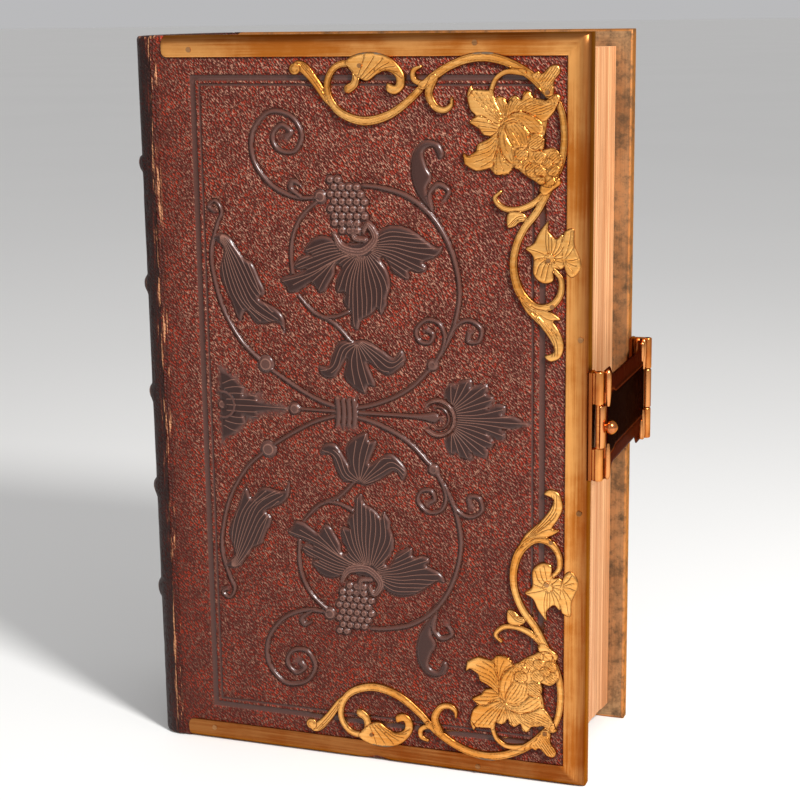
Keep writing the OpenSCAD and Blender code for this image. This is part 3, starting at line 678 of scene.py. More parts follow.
def carve(shapes, points, height, line_height, trench=0.0, trench_w=0.2):
    """Height and marks of every point of a face that carries these shapes."""
    total = len(points)
    depth = np.full(total, -9.0)
    rise, dark, line, sunk = (np.zeros(total) for _ in range(4))
    margin = 1.2
    for shape in shapes:
        low, high = shape.box[0] - shape.reach - margin, shape.box[1] + shape.reach + margin
        near = np.where(((points >= low) & (points <= high)).all(1))[0]
        if not len(near):
            continue
        got = shape.measure(points[near])
        within = got["depth"] > 0
        covers = within & (got["rise"] >= rise[near] * 0.98)
        beneath = (~within) & (depth[near] > 0.2)
        shade = np.exp(-(np.clip(-got["depth"], 0, None) / 0.16) ** 2) * beneath
        sunk[near] = np.where(covers, 0, np.maximum(sunk[near], shade))
        depth[near] = np.maximum(depth[near], got["depth"])
        for values, mark in ((rise, "rise"), (dark, "dark"), (line, "line")):
            values[near] = np.where(covers, got[mark], values[near])
    high = height * (rise - 0.35 * sunk) + line_height * line * (depth > 0)
    high = high - trench * np.exp(-(depth / trench_w) ** 2)
    # painted shade: where a shape lies over an earlier one, the crease round it is darkened through the dark
    # mark as well as sunk
    return high, {"dark": np.maximum(dark, 0.9 * sunk), "line": line * (depth > 0), "inside": depth,
                  "tooled": smooth(depth, -0.28, -0.05)}


def triangulated(points, edges=()):
    """Triangles over a flat set of points, and the points with any that crossing edges add."""
    verts, _, faces, _, _, _ = delaunay_2d_cdt([Vector(p) for p in points], list(edges), [], 0, 1e-5)
    return np.array([tuple(v) for v in verts]), np.array([f for f in faces if len(f) == 3])


def open_edges(faces):
    """Edges that only one of the triangles has."""
    known = dict.fromkeys((a, b) for f in faces.tolist() for a, b in zip(f, f[1:] + f[:1]))
    return [e for e in known if e[::-1] not in known]


def closed_plate(flat, faces, top, bottom):
    """Points and faces of a plate between two heights over the same flat triangles."""
    total = len(flat)
    x, z = flat[:, 0], flat[:, 1]
    points = np.concatenate([np.stack([x, -top, z], 1), np.stack([x, -bottom, z], 1)])
    upper = [tuple(f) for f in faces.tolist()]
    lower = [tuple(total + v for v in f[::-1]) for f in upper]
    return points, upper + lower + [(b, a, total + a, total + b) for a, b in open_edges(faces)]


def joined(rings):
    """Edges that close each ring of points, which follow one another."""
    edges, start = [], 0
    for ring in rings:
        count = len(ring)
        edges += [(start + i, start + (i + 1) % count) for i in range(count)]
        start += count
    return edges


def thinned(points, pitch):
    """The points with no more than one, the earliest, in each square of this pitch."""
    cell = np.floor(points / pitch).astype(np.int64)
    _, keep = np.unique(cell[:, 0] * 1000003 + cell[:, 1], return_index=True)
    return points[np.sort(keep)]


# Stamped scrollwork of the front cover, measured from the middle of its frame

FRUIT_TOP = 47.5
FRUIT_PITCH = 1.6


def scrollwork():
    """Shapes of the head half; the tail half mirrors them."""
    half = [
        Stem([[-2.7, 0.9, 0.8], [0.9, 1.7, 0.9], [5.9, 3.7, 0.9], [9.9, 6.3, 0.9], [13.5, 10, 0.9]]),
        Bead(14.1, 10.8, 1.25),
        Stem([[14.7, 11.5, 0.9], [16.9, 15.2, 0.9], [18.8, 19.6, 0.9], [19.8, 25.4, 0.9], [19.1, 31, 0.9],
              [17, 36.6, 0.95], [13.7, 41.2, 1], [9.1, 44.5, 1], [3.9, 46, 0.9], [0.1, 46.4, 0.8]]),
        Stem([[15.5, 12.6, 0.6], [16.7, 16.4, 0.8], [15.6, 19.3, 0.8], [12.9, 19.9, 0.8], [10.7, 17.9, 0.8],
              [11.3, 15.7, 0.8], [13.4, 15.3, 0.8], [14.3, 17, 0.9], [13.2, 17.8, 1.1]]),
        Stem([[17.5, 16.6, 0.5], [19.5, 19.4, 0.8], [22.1, 20.2, 0.8], [24.3, 18.6, 0.8], [23.7, 16.1, 0.8],
              [21.6, 16, 0.9], [21.8, 17.6, 1.2]]),
        Leaf([[14.5, 41.4], [12.3, 43.6], [10.7, 46.3], [10, 49.6], [10.6, 53.2], [12.9, 55.4],
              [15.6, 55], [16.8, 53], [15.9, 51.9], [14.6, 54.2], [12.6, 53.2], [13.2, 50.4], [14.2, 48.4],
              [13.2, 46], [13.9, 43.3]], dark=0.6),
        Stem([[14.1, 42.4, 0.9], [13.7, 45, 0.9], [15.5, 46.9, 1], [17.7, 45.8, 0.9], [16.9, 44.1, 0.7]]),
        Stem([[-7.1, 1, 0.8], [-11.1, 2.3, 0.8], [-15.6, 4.6, 0.8], [-21.1, 8, 0.8]]),
        Bead(-22.3, 9.1, 1.8),
        Stem([[-23.7, 10, 0.8], [-27.6, 13.7, 0.8], [-31.4, 20, 0.8], [-33.4, 27, 0.8], [-33.8, 32.5, 0.8],
              [-32.4, 37.6, 0.7], [-31.2, 40.6, 0.7], [-32.5, 42.7, 0.7], [-34.1, 41.6, 0.7],
              [-33.2, 40.9, 0.9]]),
        Leaf([[-33.4, 35.3], [-31.4, 36], [-29.6, 35.2], [-27.9, 32.8], [-26.5, 31], [-24.7, 30],
              [-23.3, 27], [-22.1, 24.2], [-23.4, 22.7], [-20, 21], [-18.1, 19], [-17.9, 15.9], [-19.3, 18],
              [-23.9, 17.6], [-26.5, 20.2], [-27.9, 18], [-29.7, 22.2], [-32, 27.7], [-30.9, 32.8]],
             ribs=[[[-31.6, 35.4], [-31.4, 30], [-30.5, 25], [-28.2, 19]],
                   [[-31.2, 35.7], [-29.4, 31], [-27, 25], [-24.4, 20.6], [-18.2, 17.4]],
                   [[-30.8, 35.8], [-27, 32.6], [-24.6, 28], [-22.6, 23]]], lines=4),
        Stem([[-9.7, 43.8, 0.8], [-15.1, 43.9, 0.9], [-20.3, 46.5, 0.9], [-23.7, 51.4, 0.9],
              [-23.7, 56.8, 0.9], [-20, 60.7, 0.9], [-15.3, 60, 0.9], [-13, 56.4, 0.9], [-14.7, 53, 0.9],
              [-18.1, 53.3, 0.9], [-19.4, 56, 0.9], [-17.4, 58.2, 0.9], [-15.4, 56.9, 1],
              [-16.3, 55.8, 1.4]]),
        Stem([[-13.4, 43.9, 0.5], [-15.7, 45.6, 1.1], [-15.1, 47, 1.1], [-13.4, 46.2, 0.5]]),
        Bead(-9.3, 44, 1.4),
        Stem([[-9.9, 43.2, 0.8], [-13.9, 39.4, 0.8], [-15.9, 34, 0.8], [-15.8, 28.4, 0.8]]),
        Stem([[-14.5, 23.8, 0.7], [-11.3, 20.5, 0.8], [-6.9, 18.4, 0.8], [-3.1, 14.6, 0.8]]),
        Stem([[-9.5, 19.5, 0.6], [-6.6, 19.7, 0.7], [-3.7, 20.9, 0.8]]),
        Leaf([[-5.2, 34.7], [-7.1, 35.7], [-8.8, 36.1], [-10.6, 35.7], [-11.7, 35], [-12.7, 33.8],
              [-13.1, 32.9], [-12.3, 32.4], [-11.6, 32.3], [-13.3, 32], [-14.3, 31.5], [-15, 30.7],
              [-15.4, 29.8], [-14.8, 29.3], [-13.7, 29], [-12.8, 29.3], [-13.8, 28.7], [-15.8, 28],
              [-17.5, 27.5], [-18.5, 26.7], [-17.4, 25.7], [-16.6, 24.3], [-14.8, 24.6], [-13.1, 25.6],
              [-11.9, 26.4], [-11.3, 26.3], [-10.6, 25.3], [-9.7, 24.5], [-8.6, 25.1], [-7.9, 26.3],
              [-7.2, 27.4], [-6.6, 28.5], [-6.5, 29.9], [-5.9, 30.5], [-5, 29.9], [-5.3, 29.1],
              [-5.9, 28.1], [-6.3, 26.7], [-6.4, 25.4], [-5.8, 24.7], [-4.4, 24.8], [-4.8, 23.6],
              [-4.5, 22.3], [-3.5, 21.2], [-3.1, 19.8], [-3.2, 18.3], [-1.8, 17.2], [-1.5, 18.3],
              [-1, 19.3], [0.2, 19.9], [1.5, 20.8], [2.5, 21.9], [3.2, 20.6], [3.7, 21.3], [4.5, 22.7],
              [4.5, 24], [5, 25.3], [5.3, 26.8], [5.1, 28.4], [4.5, 29.9], [3.7, 31.1], [3.3, 31.9],
              [3.9, 32.3], [4.6, 31.6], [5.2, 30.7], [5.8, 29.5], [7.2, 28.6], [9, 27.9], [9.3, 28.7],
              [9.2, 29.5], [10.1, 29.8], [11.3, 29.4], [12.8, 29.8], [12.9, 30.7], [12.3, 31.4],
              [13.3, 31.9], [14.8, 32.5], [15.9, 33.5], [16.3, 34.7], [15.5, 34.5], [14.5, 34.7],
              [13.5, 35.4], [12.4, 36.2], [11.3, 37], [9.7, 37.9], [7.7, 38.5], [5.6, 38.5], [3.9, 37.9],
              [2.7, 36.9], [0.5, 35.6], [-2.4, 34.9]],
             ribs=[[[-3.4, 34.2], [-7, 35], [-12.6, 33.2]],
                   [[-3, 33.6], [-7.4, 33], [-11.6, 31.6], [-15, 30]],
                   [[-2.6, 33], [-7, 31], [-12, 28.4], [-18, 26.6]],
                   [[-2.4, 32.6], [-5.8, 31.4], [-8, 28.6], [-10, 25.2]],
                   [[-1.6, 32.4], [-4, 29.4], [-5.2, 26.4], [-5.8, 25]],
                   [[-1, 32.2], [-2.4, 27], [-2.6, 21], [-2.4, 18]],
                   [[-0.2, 32.2], [0, 27.6], [0.4, 23.6], [0.2, 20.4]],
                   [[0.6, 32.4], [2.4, 29.2], [3.6, 25.8], [3.2, 21.2]],
                   [[1.6, 33], [3.6, 31.7], [6.4, 30], [8.8, 28.3]],
                   [[1.8, 33.8], [5.6, 33], [9.2, 31.6], [12.6, 30.2]],
                   [[1.8, 34.6], [6.4, 35], [11, 34.4], [16, 34.4]],
                   [[1.7, 35.4], [5.4, 37.4], [10.6, 37]]], lines=3, step=0.3),
        Leaf([[-2.8, 14.8], [-5.7, 14.6], [-7.3, 12], [-8.3, 9.3], [-10.5, 9.3], [-9.7, 7.3], [-7.1, 7.2],
              [-4.3, 11.2], [-4.9, 7.6], [-3.1, 5.4], [-0.4, 4.1], [0.2, 5.8], [1.8, 6], [0.1, 10.6],
              [2.5, 9.3], [4.8, 8.2], [7.3, 10], [8.3, 11.8], [7.4, 13.6], [5.9, 11.8], [3.3, 13.3],
              [-0.1, 15.1]],
             ribs=[[[-2.6, 14.7], [-5.4, 13.6], [-7.4, 9.4], [-10.2, 8.4]],
                   [[-2.4, 14], [-4.4, 12], [-4.8, 8]], [[-2, 14], [-1.8, 9], [-0.4, 4.4]],
                   [[-1.6, 14.2], [0.4, 10.6], [1.6, 6.4]],
                   [[-1.2, 14.6], [2.4, 11.6], [5.2, 9.8], [8, 11.6]],
                   [[-1, 15], [2.4, 13.6], [6, 11.8], [7.4, 13.2]]], lines=2),
        Stem([[-6.3, 36.4, 1.0], [-4.7, 33.9, 1.9], [-0.5, 33.3, 2.1], [2.3, 36, 1.8], [0.9, 38.7, 1.4],
              [-0.2, 37.2, 1.0]], level=1.35, lines=(0.0, 0.55)),
        Stem([[0.1, 35.6, 1.2], [-2.1, 36, 1.5], [-2.5, 38.6, 1.2], [-4.1, 38.9, 0.7]], level=1.4,
             lines=(0.2,)),
    ]
    for row in range(8):
        z = FRUIT_TOP - 1.45 * row
        start = -7.1 + max(0, row - 5) * 0.8 + (row % 2) * 0.8
        end = [-4.7, -1.1][row] if row < 2 else 0.8 - max(0, row - 5) * 0.9
        for x in np.arange(start, end + 0.01, FRUIT_PITCH):
            half.append(Bead(x, z, 0.9, level=1.3 - 0.02 * row, ring=0.5))
    return half


def arc_stem(x, reach_x, reach_z, width, turn, step, **more):
    angles = np.radians(np.arange(-turn, turn + 1, step))
    return Stem([[x + reach_x * math.cos(a), reach_z * math.sin(a), width] for a in angles], **more)


def middle_ornament():
    """Palmette, tassel and knot on the middle line."""
    shapes = []
    palmette = [[18.9, 0], [18.3, 2.6], [17, 3.6], [16.5, 4.7], [16.8, 6], [17.5, 7.1], [18.3, 7.4],
                [19.1, 6.8], [19.8, 7.9], [21, 8.2], [22.1, 8.3], [22.4, 7.5], [22.1, 6.7], [23.2, 7.1],
                [24.4, 7.5], [25.5, 7.4], [25.7, 6.5], [25.3, 5.6], [26.6, 5.2], [26.9, 4.5], [26.5, 3.6],
                [25.7, 2.7], [26.5, 3.1], [27.4, 3.6], [28.4, 3.6], [29.3, 3.2], [29.3, 2.3], [28.5, 1.6],
                [29.4, 1.4], [30.5, 1.4], [31.6, 1.1], [32.6, 0.6], [34.3, 0]]
    tassel = [[-33, 7.7], [-30.4, 6.7], [-27.3, 3.8], [-27.7, 2.2], [-24.5, 2.9], [-24.5, 1.4],
              [-17.7, 0.3]]
    right_ribs = [[[19, 0], [26, 0], [33.6, 0]], [[19, 0.9], [23.4, 1.2], [28.6, 2.6]],
                  [[18.9, 1.6], [22.4, 3], [26.2, 4.4]], [[18.7, 2.2], [21.6, 4.4], [24.6, 6.8]],
                  [[18.4, 2.7], [19.9, 5], [21.4, 7.8]], [[18.1, 3], [18, 5], [18, 7.2]]]
    left_ribs = [[[-31.4, 0], [-24, 0.1], [-18, 0]], [[-31.4, 2.4], [-28.6, 2.6], [-25, 2.2]],
                 [[-32, 4.6], [-30.2, 5.4], [-28.4, 5.4]]]
    for outline, ribs in ((palmette, right_ribs), (tassel, left_ribs)):
        other = mirrored(outline)[::-1].tolist()
        whole = outline + [p for p in other if p[1] < 0]
        both = [mirrored(r).tolist() for r in ribs[:0:-1]] + ribs
        shapes.append(Leaf(whole, ribs=both, lines=2, straight=True))
    shapes += [
        Stem([[-2.8, 0, 0.9], [4.9, 0, 0.7], [9.9, 0, 0.9], [12.6, 0, 1.5], [14.4, 0, 2.2], [15.4, 0, 0.8]],
             level=1.1),
        arc_stem(15.2, 3.4, 3.6, 0.9, 130, 20, level=1.2, lines=(0.3,)),
        arc_stem(15.2, 2.2, 2.3, 0.5, 100, 20, level=0.9),
        Stem([[-17.1, 0, 0.6], [-12.1, 0, 0.6], [-7.1, 0, 0.8]]),
        Bead(-16.1, 0, 1.3),
        arc_stem(-32.5, 2.8, 2.8, 0.7, 100, 25, level=1.2),
        Bead(-32.5, 0, 1.1),
    ]
    for i in range(4):
        x = -6.5 + 1.2 * i
        shapes.append(Stem([[x, -2.5, 1.2], [x + 0.2, 0, 1.3], [x, 2.5, 1.2]], level=1.35))
    return shapes


# Leather over each board

FRAME_LINES = ((8.2, 8.6, 7.9, 1.2), (10, 10.9, 9.6, 0.5))     # insets at joint, fore-edge and ends; width
FRAME_DEEP = 0.2
RELIEF = 0.34            # how high the stamped shapes stand
VEIN = 0.05              # how high the lines on them stand
TRENCH = 0.16            # depth of the ground pressed down beside them
TRENCH_W = 0.24
JOINT_ROLL = (0.9, 0.55)     # width and fall where the leather rolls over at the joint
END_ROLL = (0.8, 0.5)        # and at head and tail
UNDER_RIM = 1.15             # how much lower it lies where a rim covers it
WALL = 1.2                   # height of its edges
GRID = 1.9


def frame_box(sizes, off):
    """Lowest and highest X and Z of a frame line, moved in by off."""
    return np.array([JOINT_X + sizes[0] + off, FORE_X - sizes[1] - off, sizes[2] + off,
                     COVER_H - sizes[2] - off])


def depth_in(points, box):
    """How far inside a box each point lies; negative outside it."""
    x, z = points[:, 0], points[:, 1]
    return np.minimum.reduce([x - box[0], box[1] - x, z - box[2], box[3] - z])


def frame_depth(points):
    """How deep each point lies in the double frame line, from 0 outside it to 1."""
    total = np.zeros(len(points))
    for sizes in FRAME_LINES:
        outer = depth_in(points, frame_box(sizes, 0))
        inner = depth_in(points, frame_box(sizes, sizes[3]))
        total = np.maximum(total, smooth(outer, -0.06, 0.12) * (1 - smooth(inner, -0.12, 0.06)))
    return total


def frame_strips():
    """Rings of points along the frame lines, in rows across each line."""
    rings = []
    for sizes in FRAME_LINES:
        width = sizes[3]
        for off in (-0.5, -0.1, 0.1, width - 0.1, width + 0.1, width + 0.5):
            x0, x1, z0, z1 = frame_box(sizes, off)
            turns = np.array([(x0, z0), (x1, z0), (x1, z1), (x0, z1), (x0, z0)])
            ring = []
            for a, b in zip(turns, turns[1:]):
                parts = int(np.abs(b - a).max() / 1.5)
                ring += [a + (b - a) * i / parts for i in range(parts)]
            rings.append(np.array(ring))
    return rings


def board_grid(x1):
    """Loose points over a board's face, closer together at its edges."""
    near = np.array([0, 0.25, 0.7, 1.4, 2.4, 3.4])
    xs = np.concatenate([JOINT_X + np.array([0, 0.25, 0.6, 1.1]), [RIM_X0 + 0.05, RIM_X0 + 0.3],
                         np.arange(RIM_X0 + GRID, x1 - 1, GRID), [x1]])
    zs = np.concatenate([near, np.arange(near[-1] + GRID, COVER_H - 4, GRID), COVER_H - near[::-1]])
    return np.stack(np.meshgrid(xs, zs), -1).reshape(-1, 2)


def board_core(side):
    """Boxes that fill the board under its face: one at the joint, and one inside the rim."""
    points, faces = [], []
    depths = side * (IN_Y + RIM_T), side * (OUT_Y - RIM_T - 0.1)
    boxes = ((JOINT_X, RIM_X0, 0.4), (RIM_X0, FORE_X - RIM_T, RIM_T))
    for x0, x1, end in boxes:
        quads = [(0, 1, 3, 2), (4, 6, 7, 5), (0, 4, 5, 1), (2, 3, 7, 6), (0, 2, 6, 4), (1, 5, 7, 3)]
        faces += [tuple(len(points) + v for v in q) for q in quads]
        points += [(x, y, z) for x in (x0, x1) for y in depths for z in (end, COVER_H - end)]
    return points, faces


def leather_board(name, shapes, side):
    """Board in its leather: the carved face with its edges, and the core under it."""
    rings = frame_strips()
    grid = board_grid(FORE_X - FLANGE + 0.05)
    grid = grid[frame_depth(grid) <= 0]
    fine = [thinned(np.concatenate([s.sown() for s in shapes]), 0.1)] if shapes else []
    flat, faces = triangulated(np.concatenate(rings + fine + [grid]), joined(rings))
    high, marks = carve(shapes, flat, RELIEF, VEIN, TRENCH, TRENCH_W)
    lines = frame_depth(flat)
    high -= FRAME_DEEP * lines
    x, z = flat[:, 0], flat[:, 1]
    end = np.minimum(z, COVER_H - z)
    for off, (width, fall) in ((x - JOINT_X, JOINT_ROLL), (end, END_ROLL)):
        high -= fall * quarter(np.minimum(off, width) / width)
    under = smooth(x, RIM_X0 + 0.04, RIM_X0 + 0.31)
    high -= under * UNDER_RIM * (1 - smooth(end, 1.3, 3.5))
    # wear at the joint and the corners, which also places the painted glints of the creases and cracks
    worn = 0.9 * np.exp(-(x - JOINT_X) / 0.5) + 0.8 * np.exp(-end / 2.5) * np.exp(-(x - JOINT_X) / 1.6)
    marks = {"tooled": np.maximum(marks["tooled"], lines), "dark": np.maximum(marks["dark"], 0.25 * lines),
             "line": marks["line"], "wear_and_glint": np.clip(worn, 0, 1)}
    z = z + under * (np.clip(z, 0.35, COVER_H - 0.35) - z)
    face = np.stack([x, side * (FIELD_Y + high), z], 1)
    loose = open_edges(faces)
    used = sorted({v for e in loose for v in e})
    place = {v: len(face) + i for i, v in enumerate(used)}
    foot = face[used]
    foot[:, 1] = side * (FIELD_Y - WALL)
    polygons = [tuple(f) for f in faces] + [(b, a, place[a], place[b]) for a, b in loose]
    core, core_faces = board_core(side)
    start = len(face) + len(foot)
    polygons = polygons if side < 0 else turned_over(polygons)
    polygons += [tuple(start + v for v in f) for f in core_faces]
    points = np.concatenate([face, foot, core])
    rest = np.zeros(len(points) - len(face))
    return build(name, points, polygons, LEATHER, {k: np.append(v, rest) for k, v in marks.items()},
                 crease=60)


front_shapes = scrollwork() + [s.moved(mirrored) for s in scrollwork()] + middle_ornament()
front_leather = leather_board("front_leather", shifted(front_shapes, FRAME_MID, COVER_H / 2), -1)
finish_piece(front_leather, "front_cover", "front_board")
finish_piece(leather_board("back_leather", [], 1), "back_cover", "back_board")


# Cut and engraved brass corner mounts, measured from the cover's head fore-edge corner

def engraved(outline, ribs=(), lines=2, level=0.85, **more):
    return Leaf(outline, ribs=ribs, lines=lines, level=level, dark=0.0, shoulder=0.16, **more)


def rounded(points, level=0.8, lines=(0.5,)):
    return Stem(points, level=level, lines=lines, round=6)


def vine_leaf():
    whole = [[-22.9, -10.5], [-24, -12.2], [-23.4, -14.6], [-22.5, -15.6], [-23.9, -16.8], [-21.8, -18],
             [-20.8, -19.4], [-19.2, -19.7], [-22, -20.9], [-22.5, -22.4], [-24, -23.3], [-25, -22.8],
             [-24.8, -25], [-22.4, -26.3], [-19.6, -25.7], [-18.6, -26.9], [-16.6, -27], [-15.2, -26],
             [-14.6, -24.8], [-12.8, -26], [-11, -24], [-9.4, -21], [-8.6, -18.6], [-8.2, -16.4],
             [-6.7, -14.6], [-5.5, -11.9], [-6.6, -11.3], [-8.5, -12.6], [-11, -12.1], [-12.2, -10.9],
             [-13.4, -12.5], [-14.6, -11.7], [-16.1, -13.2], [-17.3, -11.9], [-18.6, -12.2], [-20.4, -10.7]]
    return [
        engraved(whole, level=0.6, straight=True),
        engraved([[-16.7, -16.3], [-17.1, -14.6], [-18.5, -12.5], [-18.9, -10.9], [-20.4, -10.7],
                  [-21.8, -10.8], [-22.9, -10.6], [-23.3, -9.8], [-23.9, -10.6], [-24.2, -11.9],
                  [-23.9, -13.8], [-23, -15.2], [-21.7, -15.6], [-19.6, -16.7], [-17.7, -17.8]],
                 ribs=[[[-17.3, -16.9], [-20.1, -14.9], [-23.4, -11.2]],
                       [[-17.1, -16.6], [-19.3, -14], [-21.2, -11.4]],
                       [[-16.8, -16.3], [-17.7, -14.2], [-18.9, -12]]], level=0.8),
        engraved([[-17.5, -17.5], [-19.3, -16.7], [-21.4, -15.6], [-22.9, -16.2], [-23.8, -17],
                  [-22.7, -17.7], [-21.7, -18.2], [-21, -19.2], [-19.8, -19.5], [-18.8, -19.4],
                  [-17.9, -18.8]],
                 ribs=[[[-17.8, -17.8], [-20, -17], [-23, -16.6]],
                       [[-18, -18.6], [-19.6, -18.6], [-21, -18.6]]],
                 level=0.72),
        engraved([[-17.9, -18.8], [-18.8, -19.2], [-20.4, -20.2], [-22.2, -21.2], [-22.3, -22.4],
                  [-23.5, -23.1], [-24.3, -23.4], [-25, -22.7], [-25.1, -23.6], [-24.6, -24.9],
                  [-23.3, -25.9], [-21.7, -26.2], [-19.3, -25.5], [-18.5, -24.1], [-18.1, -22]],
                 ribs=[[[-18.3, -19.5], [-20.1, -20.8], [-22.1, -21.5]],
                       [[-18.2, -20.4], [-19.8, -22.4], [-23.8, -23.6]],
                       [[-18.2, -21.8], [-19, -24], [-21.4, -25.4]]], level=0.8),
        engraved([[-18.5, -23.1], [-18.9, -24.9], [-18.8, -26.6], [-17.7, -27.1], [-16.9, -26.6],
                  [-15.8, -26.8], [-15.4, -25.8], [-14.8, -24.9], [-15.6, -24.6], [-16.9, -23.3],
                  [-17.9, -21.5]],
                 ribs=[[[-18.1, -22.6], [-18.3, -24.6], [-18.2, -26.6]],
                       [[-17.4, -22.8], [-16.6, -24.4], [-15.4, -25.4]]],
                 level=0.7),
        engraved([[-16.7, -16.2], [-17.6, -14.4], [-18.5, -12.5], [-18.1, -11.9], [-17.3, -11.9],
                  [-16.4, -12.5], [-16.1, -13.4], [-15.8, -12.3], [-14.8, -11.7], [-14.1, -11.9],
                  [-13.4, -12.6], [-13, -11.2], [-12.2, -10.8], [-11.4, -11.2], [-11, -12.1], [-9.8, -12.3],
                  [-8.5, -12.6], [-7.2, -12.3], [-6.6, -11.6], [-6, -11.6], [-5.9, -12.2], [-6.1, -13],
                  [-6.9, -14.9], [-8.3, -16.3], [-9.3, -16.5], [-11.2, -15.4], [-13.3, -14.9],
                  [-15.4, -15.2]],
                 ribs=[[[-16.4, -15.9], [-17.2, -14.1], [-18.1, -12.3]],
                       [[-16.2, -15.7], [-15.9, -13.6], [-15, -12]],
                       [[-15.4, -15.3], [-14.3, -13.3], [-12.2, -11.1]],
                       [[-14.3, -15], [-12.2, -13.3], [-9.6, -12.8], [-6.3, -11.8]],
                       [[-12.7, -14.9], [-10.1, -13.8], [-6, -12.4]],
                       [[-11.2, -15.4], [-9.1, -15.2], [-7.2, -14.2]]],
                 lines=3, level=0.8),
        engraved([[-17.7, -17.8], [-18, -19.9], [-17.6, -22], [-16.7, -23.7], [-14.8, -24.9],
                  [-14.5, -23.6], [-15.1, -21.5], [-16, -19.9], [-16.7, -18.3], [-16.4, -17.3]],
                 ribs=[[[-16.9, -17.5], [-17.6, -19.9], [-17.2, -22.3], [-15.6, -24.4]],
                       [[-16.4, -18.1], [-15.6, -20.7], [-14.8, -23.8]]], level=0.95),
        engraved([[-16.6, -17.8], [-15.6, -17], [-14.1, -17], [-12.2, -18.1], [-11.6, -19.1],
                  [-12.1, -21.3], [-13.1, -22.1], [-14.6, -21.5], [-16, -19.6]],
                 ribs=[[[-16.2, -17.8], [-15.4, -19.4], [-13.9, -21.6]],
                       [[-14.1, -17.2], [-12.6, -18.5], [-12.1, -20.6]]],
                 lines=4, level=0.88, cup=0.15),
        engraved([[-17.5, -17.3], [-16.7, -16.2], [-15.4, -15.2], [-13.3, -14.8], [-11.2, -15.4],
                  [-9.8, -16.3], [-9, -17.3], [-9, -18.1], [-9.6, -19.1], [-11.4, -18.9], [-12.7, -17.4],
                  [-14.1, -16.4], [-15.6, -16.4]],
                 ribs=[[[-16.9, -16.7], [-15.4, -15.6], [-13.3, -15.2], [-11.2, -15.7], [-9.3, -17.5]],
                       [[-16.7, -17], [-15.1, -16.1], [-13.3, -16.1], [-11.7, -17.5], [-9.9, -18.8]]],
                 level=1.0),
        engraved([[-11.6, -19.1], [-9.6, -19], [-8.8, -19.9], [-8.7, -20.9], [-9.1, -22], [-10.1, -22.5],
                  [-11.7, -21.9], [-12.1, -21.3]], hatch=(35, 0.42), level=0.95),
    ]


def grapes():
    spots = [(-13.3, -22.9, 1.35), (-12.7, -24.9, 1.2), (-14.0, -24.9, 1.0), (-11.1, -25.9, 1.4),
             (-9.8, -23.4, 1.3), (-9.4, -26.0, 1.25), (-6.9, -23.4, 1.35), (-7.1, -25.7, 1.3),
             (-9.5, -27.8, 0.95), (-7.6, -27.8, 1.0), (-8.1, -24.6, 1.1)]
    made = [engraved([[-14.8, -24.4], [-14.4, -22], [-12.6, -21.6], [-9.6, -22], [-7, -21.6], [-5.3, -23.4],
                      [-5.5, -25.4], [-6.2, -27.4], [-7.3, -28.9], [-9.2, -28.7], [-11.6, -27.5],
                      [-13.6, -26.1]],
                     level=0.5)]
    turn = np.radians(np.arange(0, 360, 40))
    for x, z, r in spots:
        around = np.stack([x + r * np.cos(turn), z + r * 0.92 * np.sin(turn)], 1)
        made.append(Leaf(around, hatch=(40, 0.44), level=0.92, dark=0.0, shoulder=0.4))
    return made


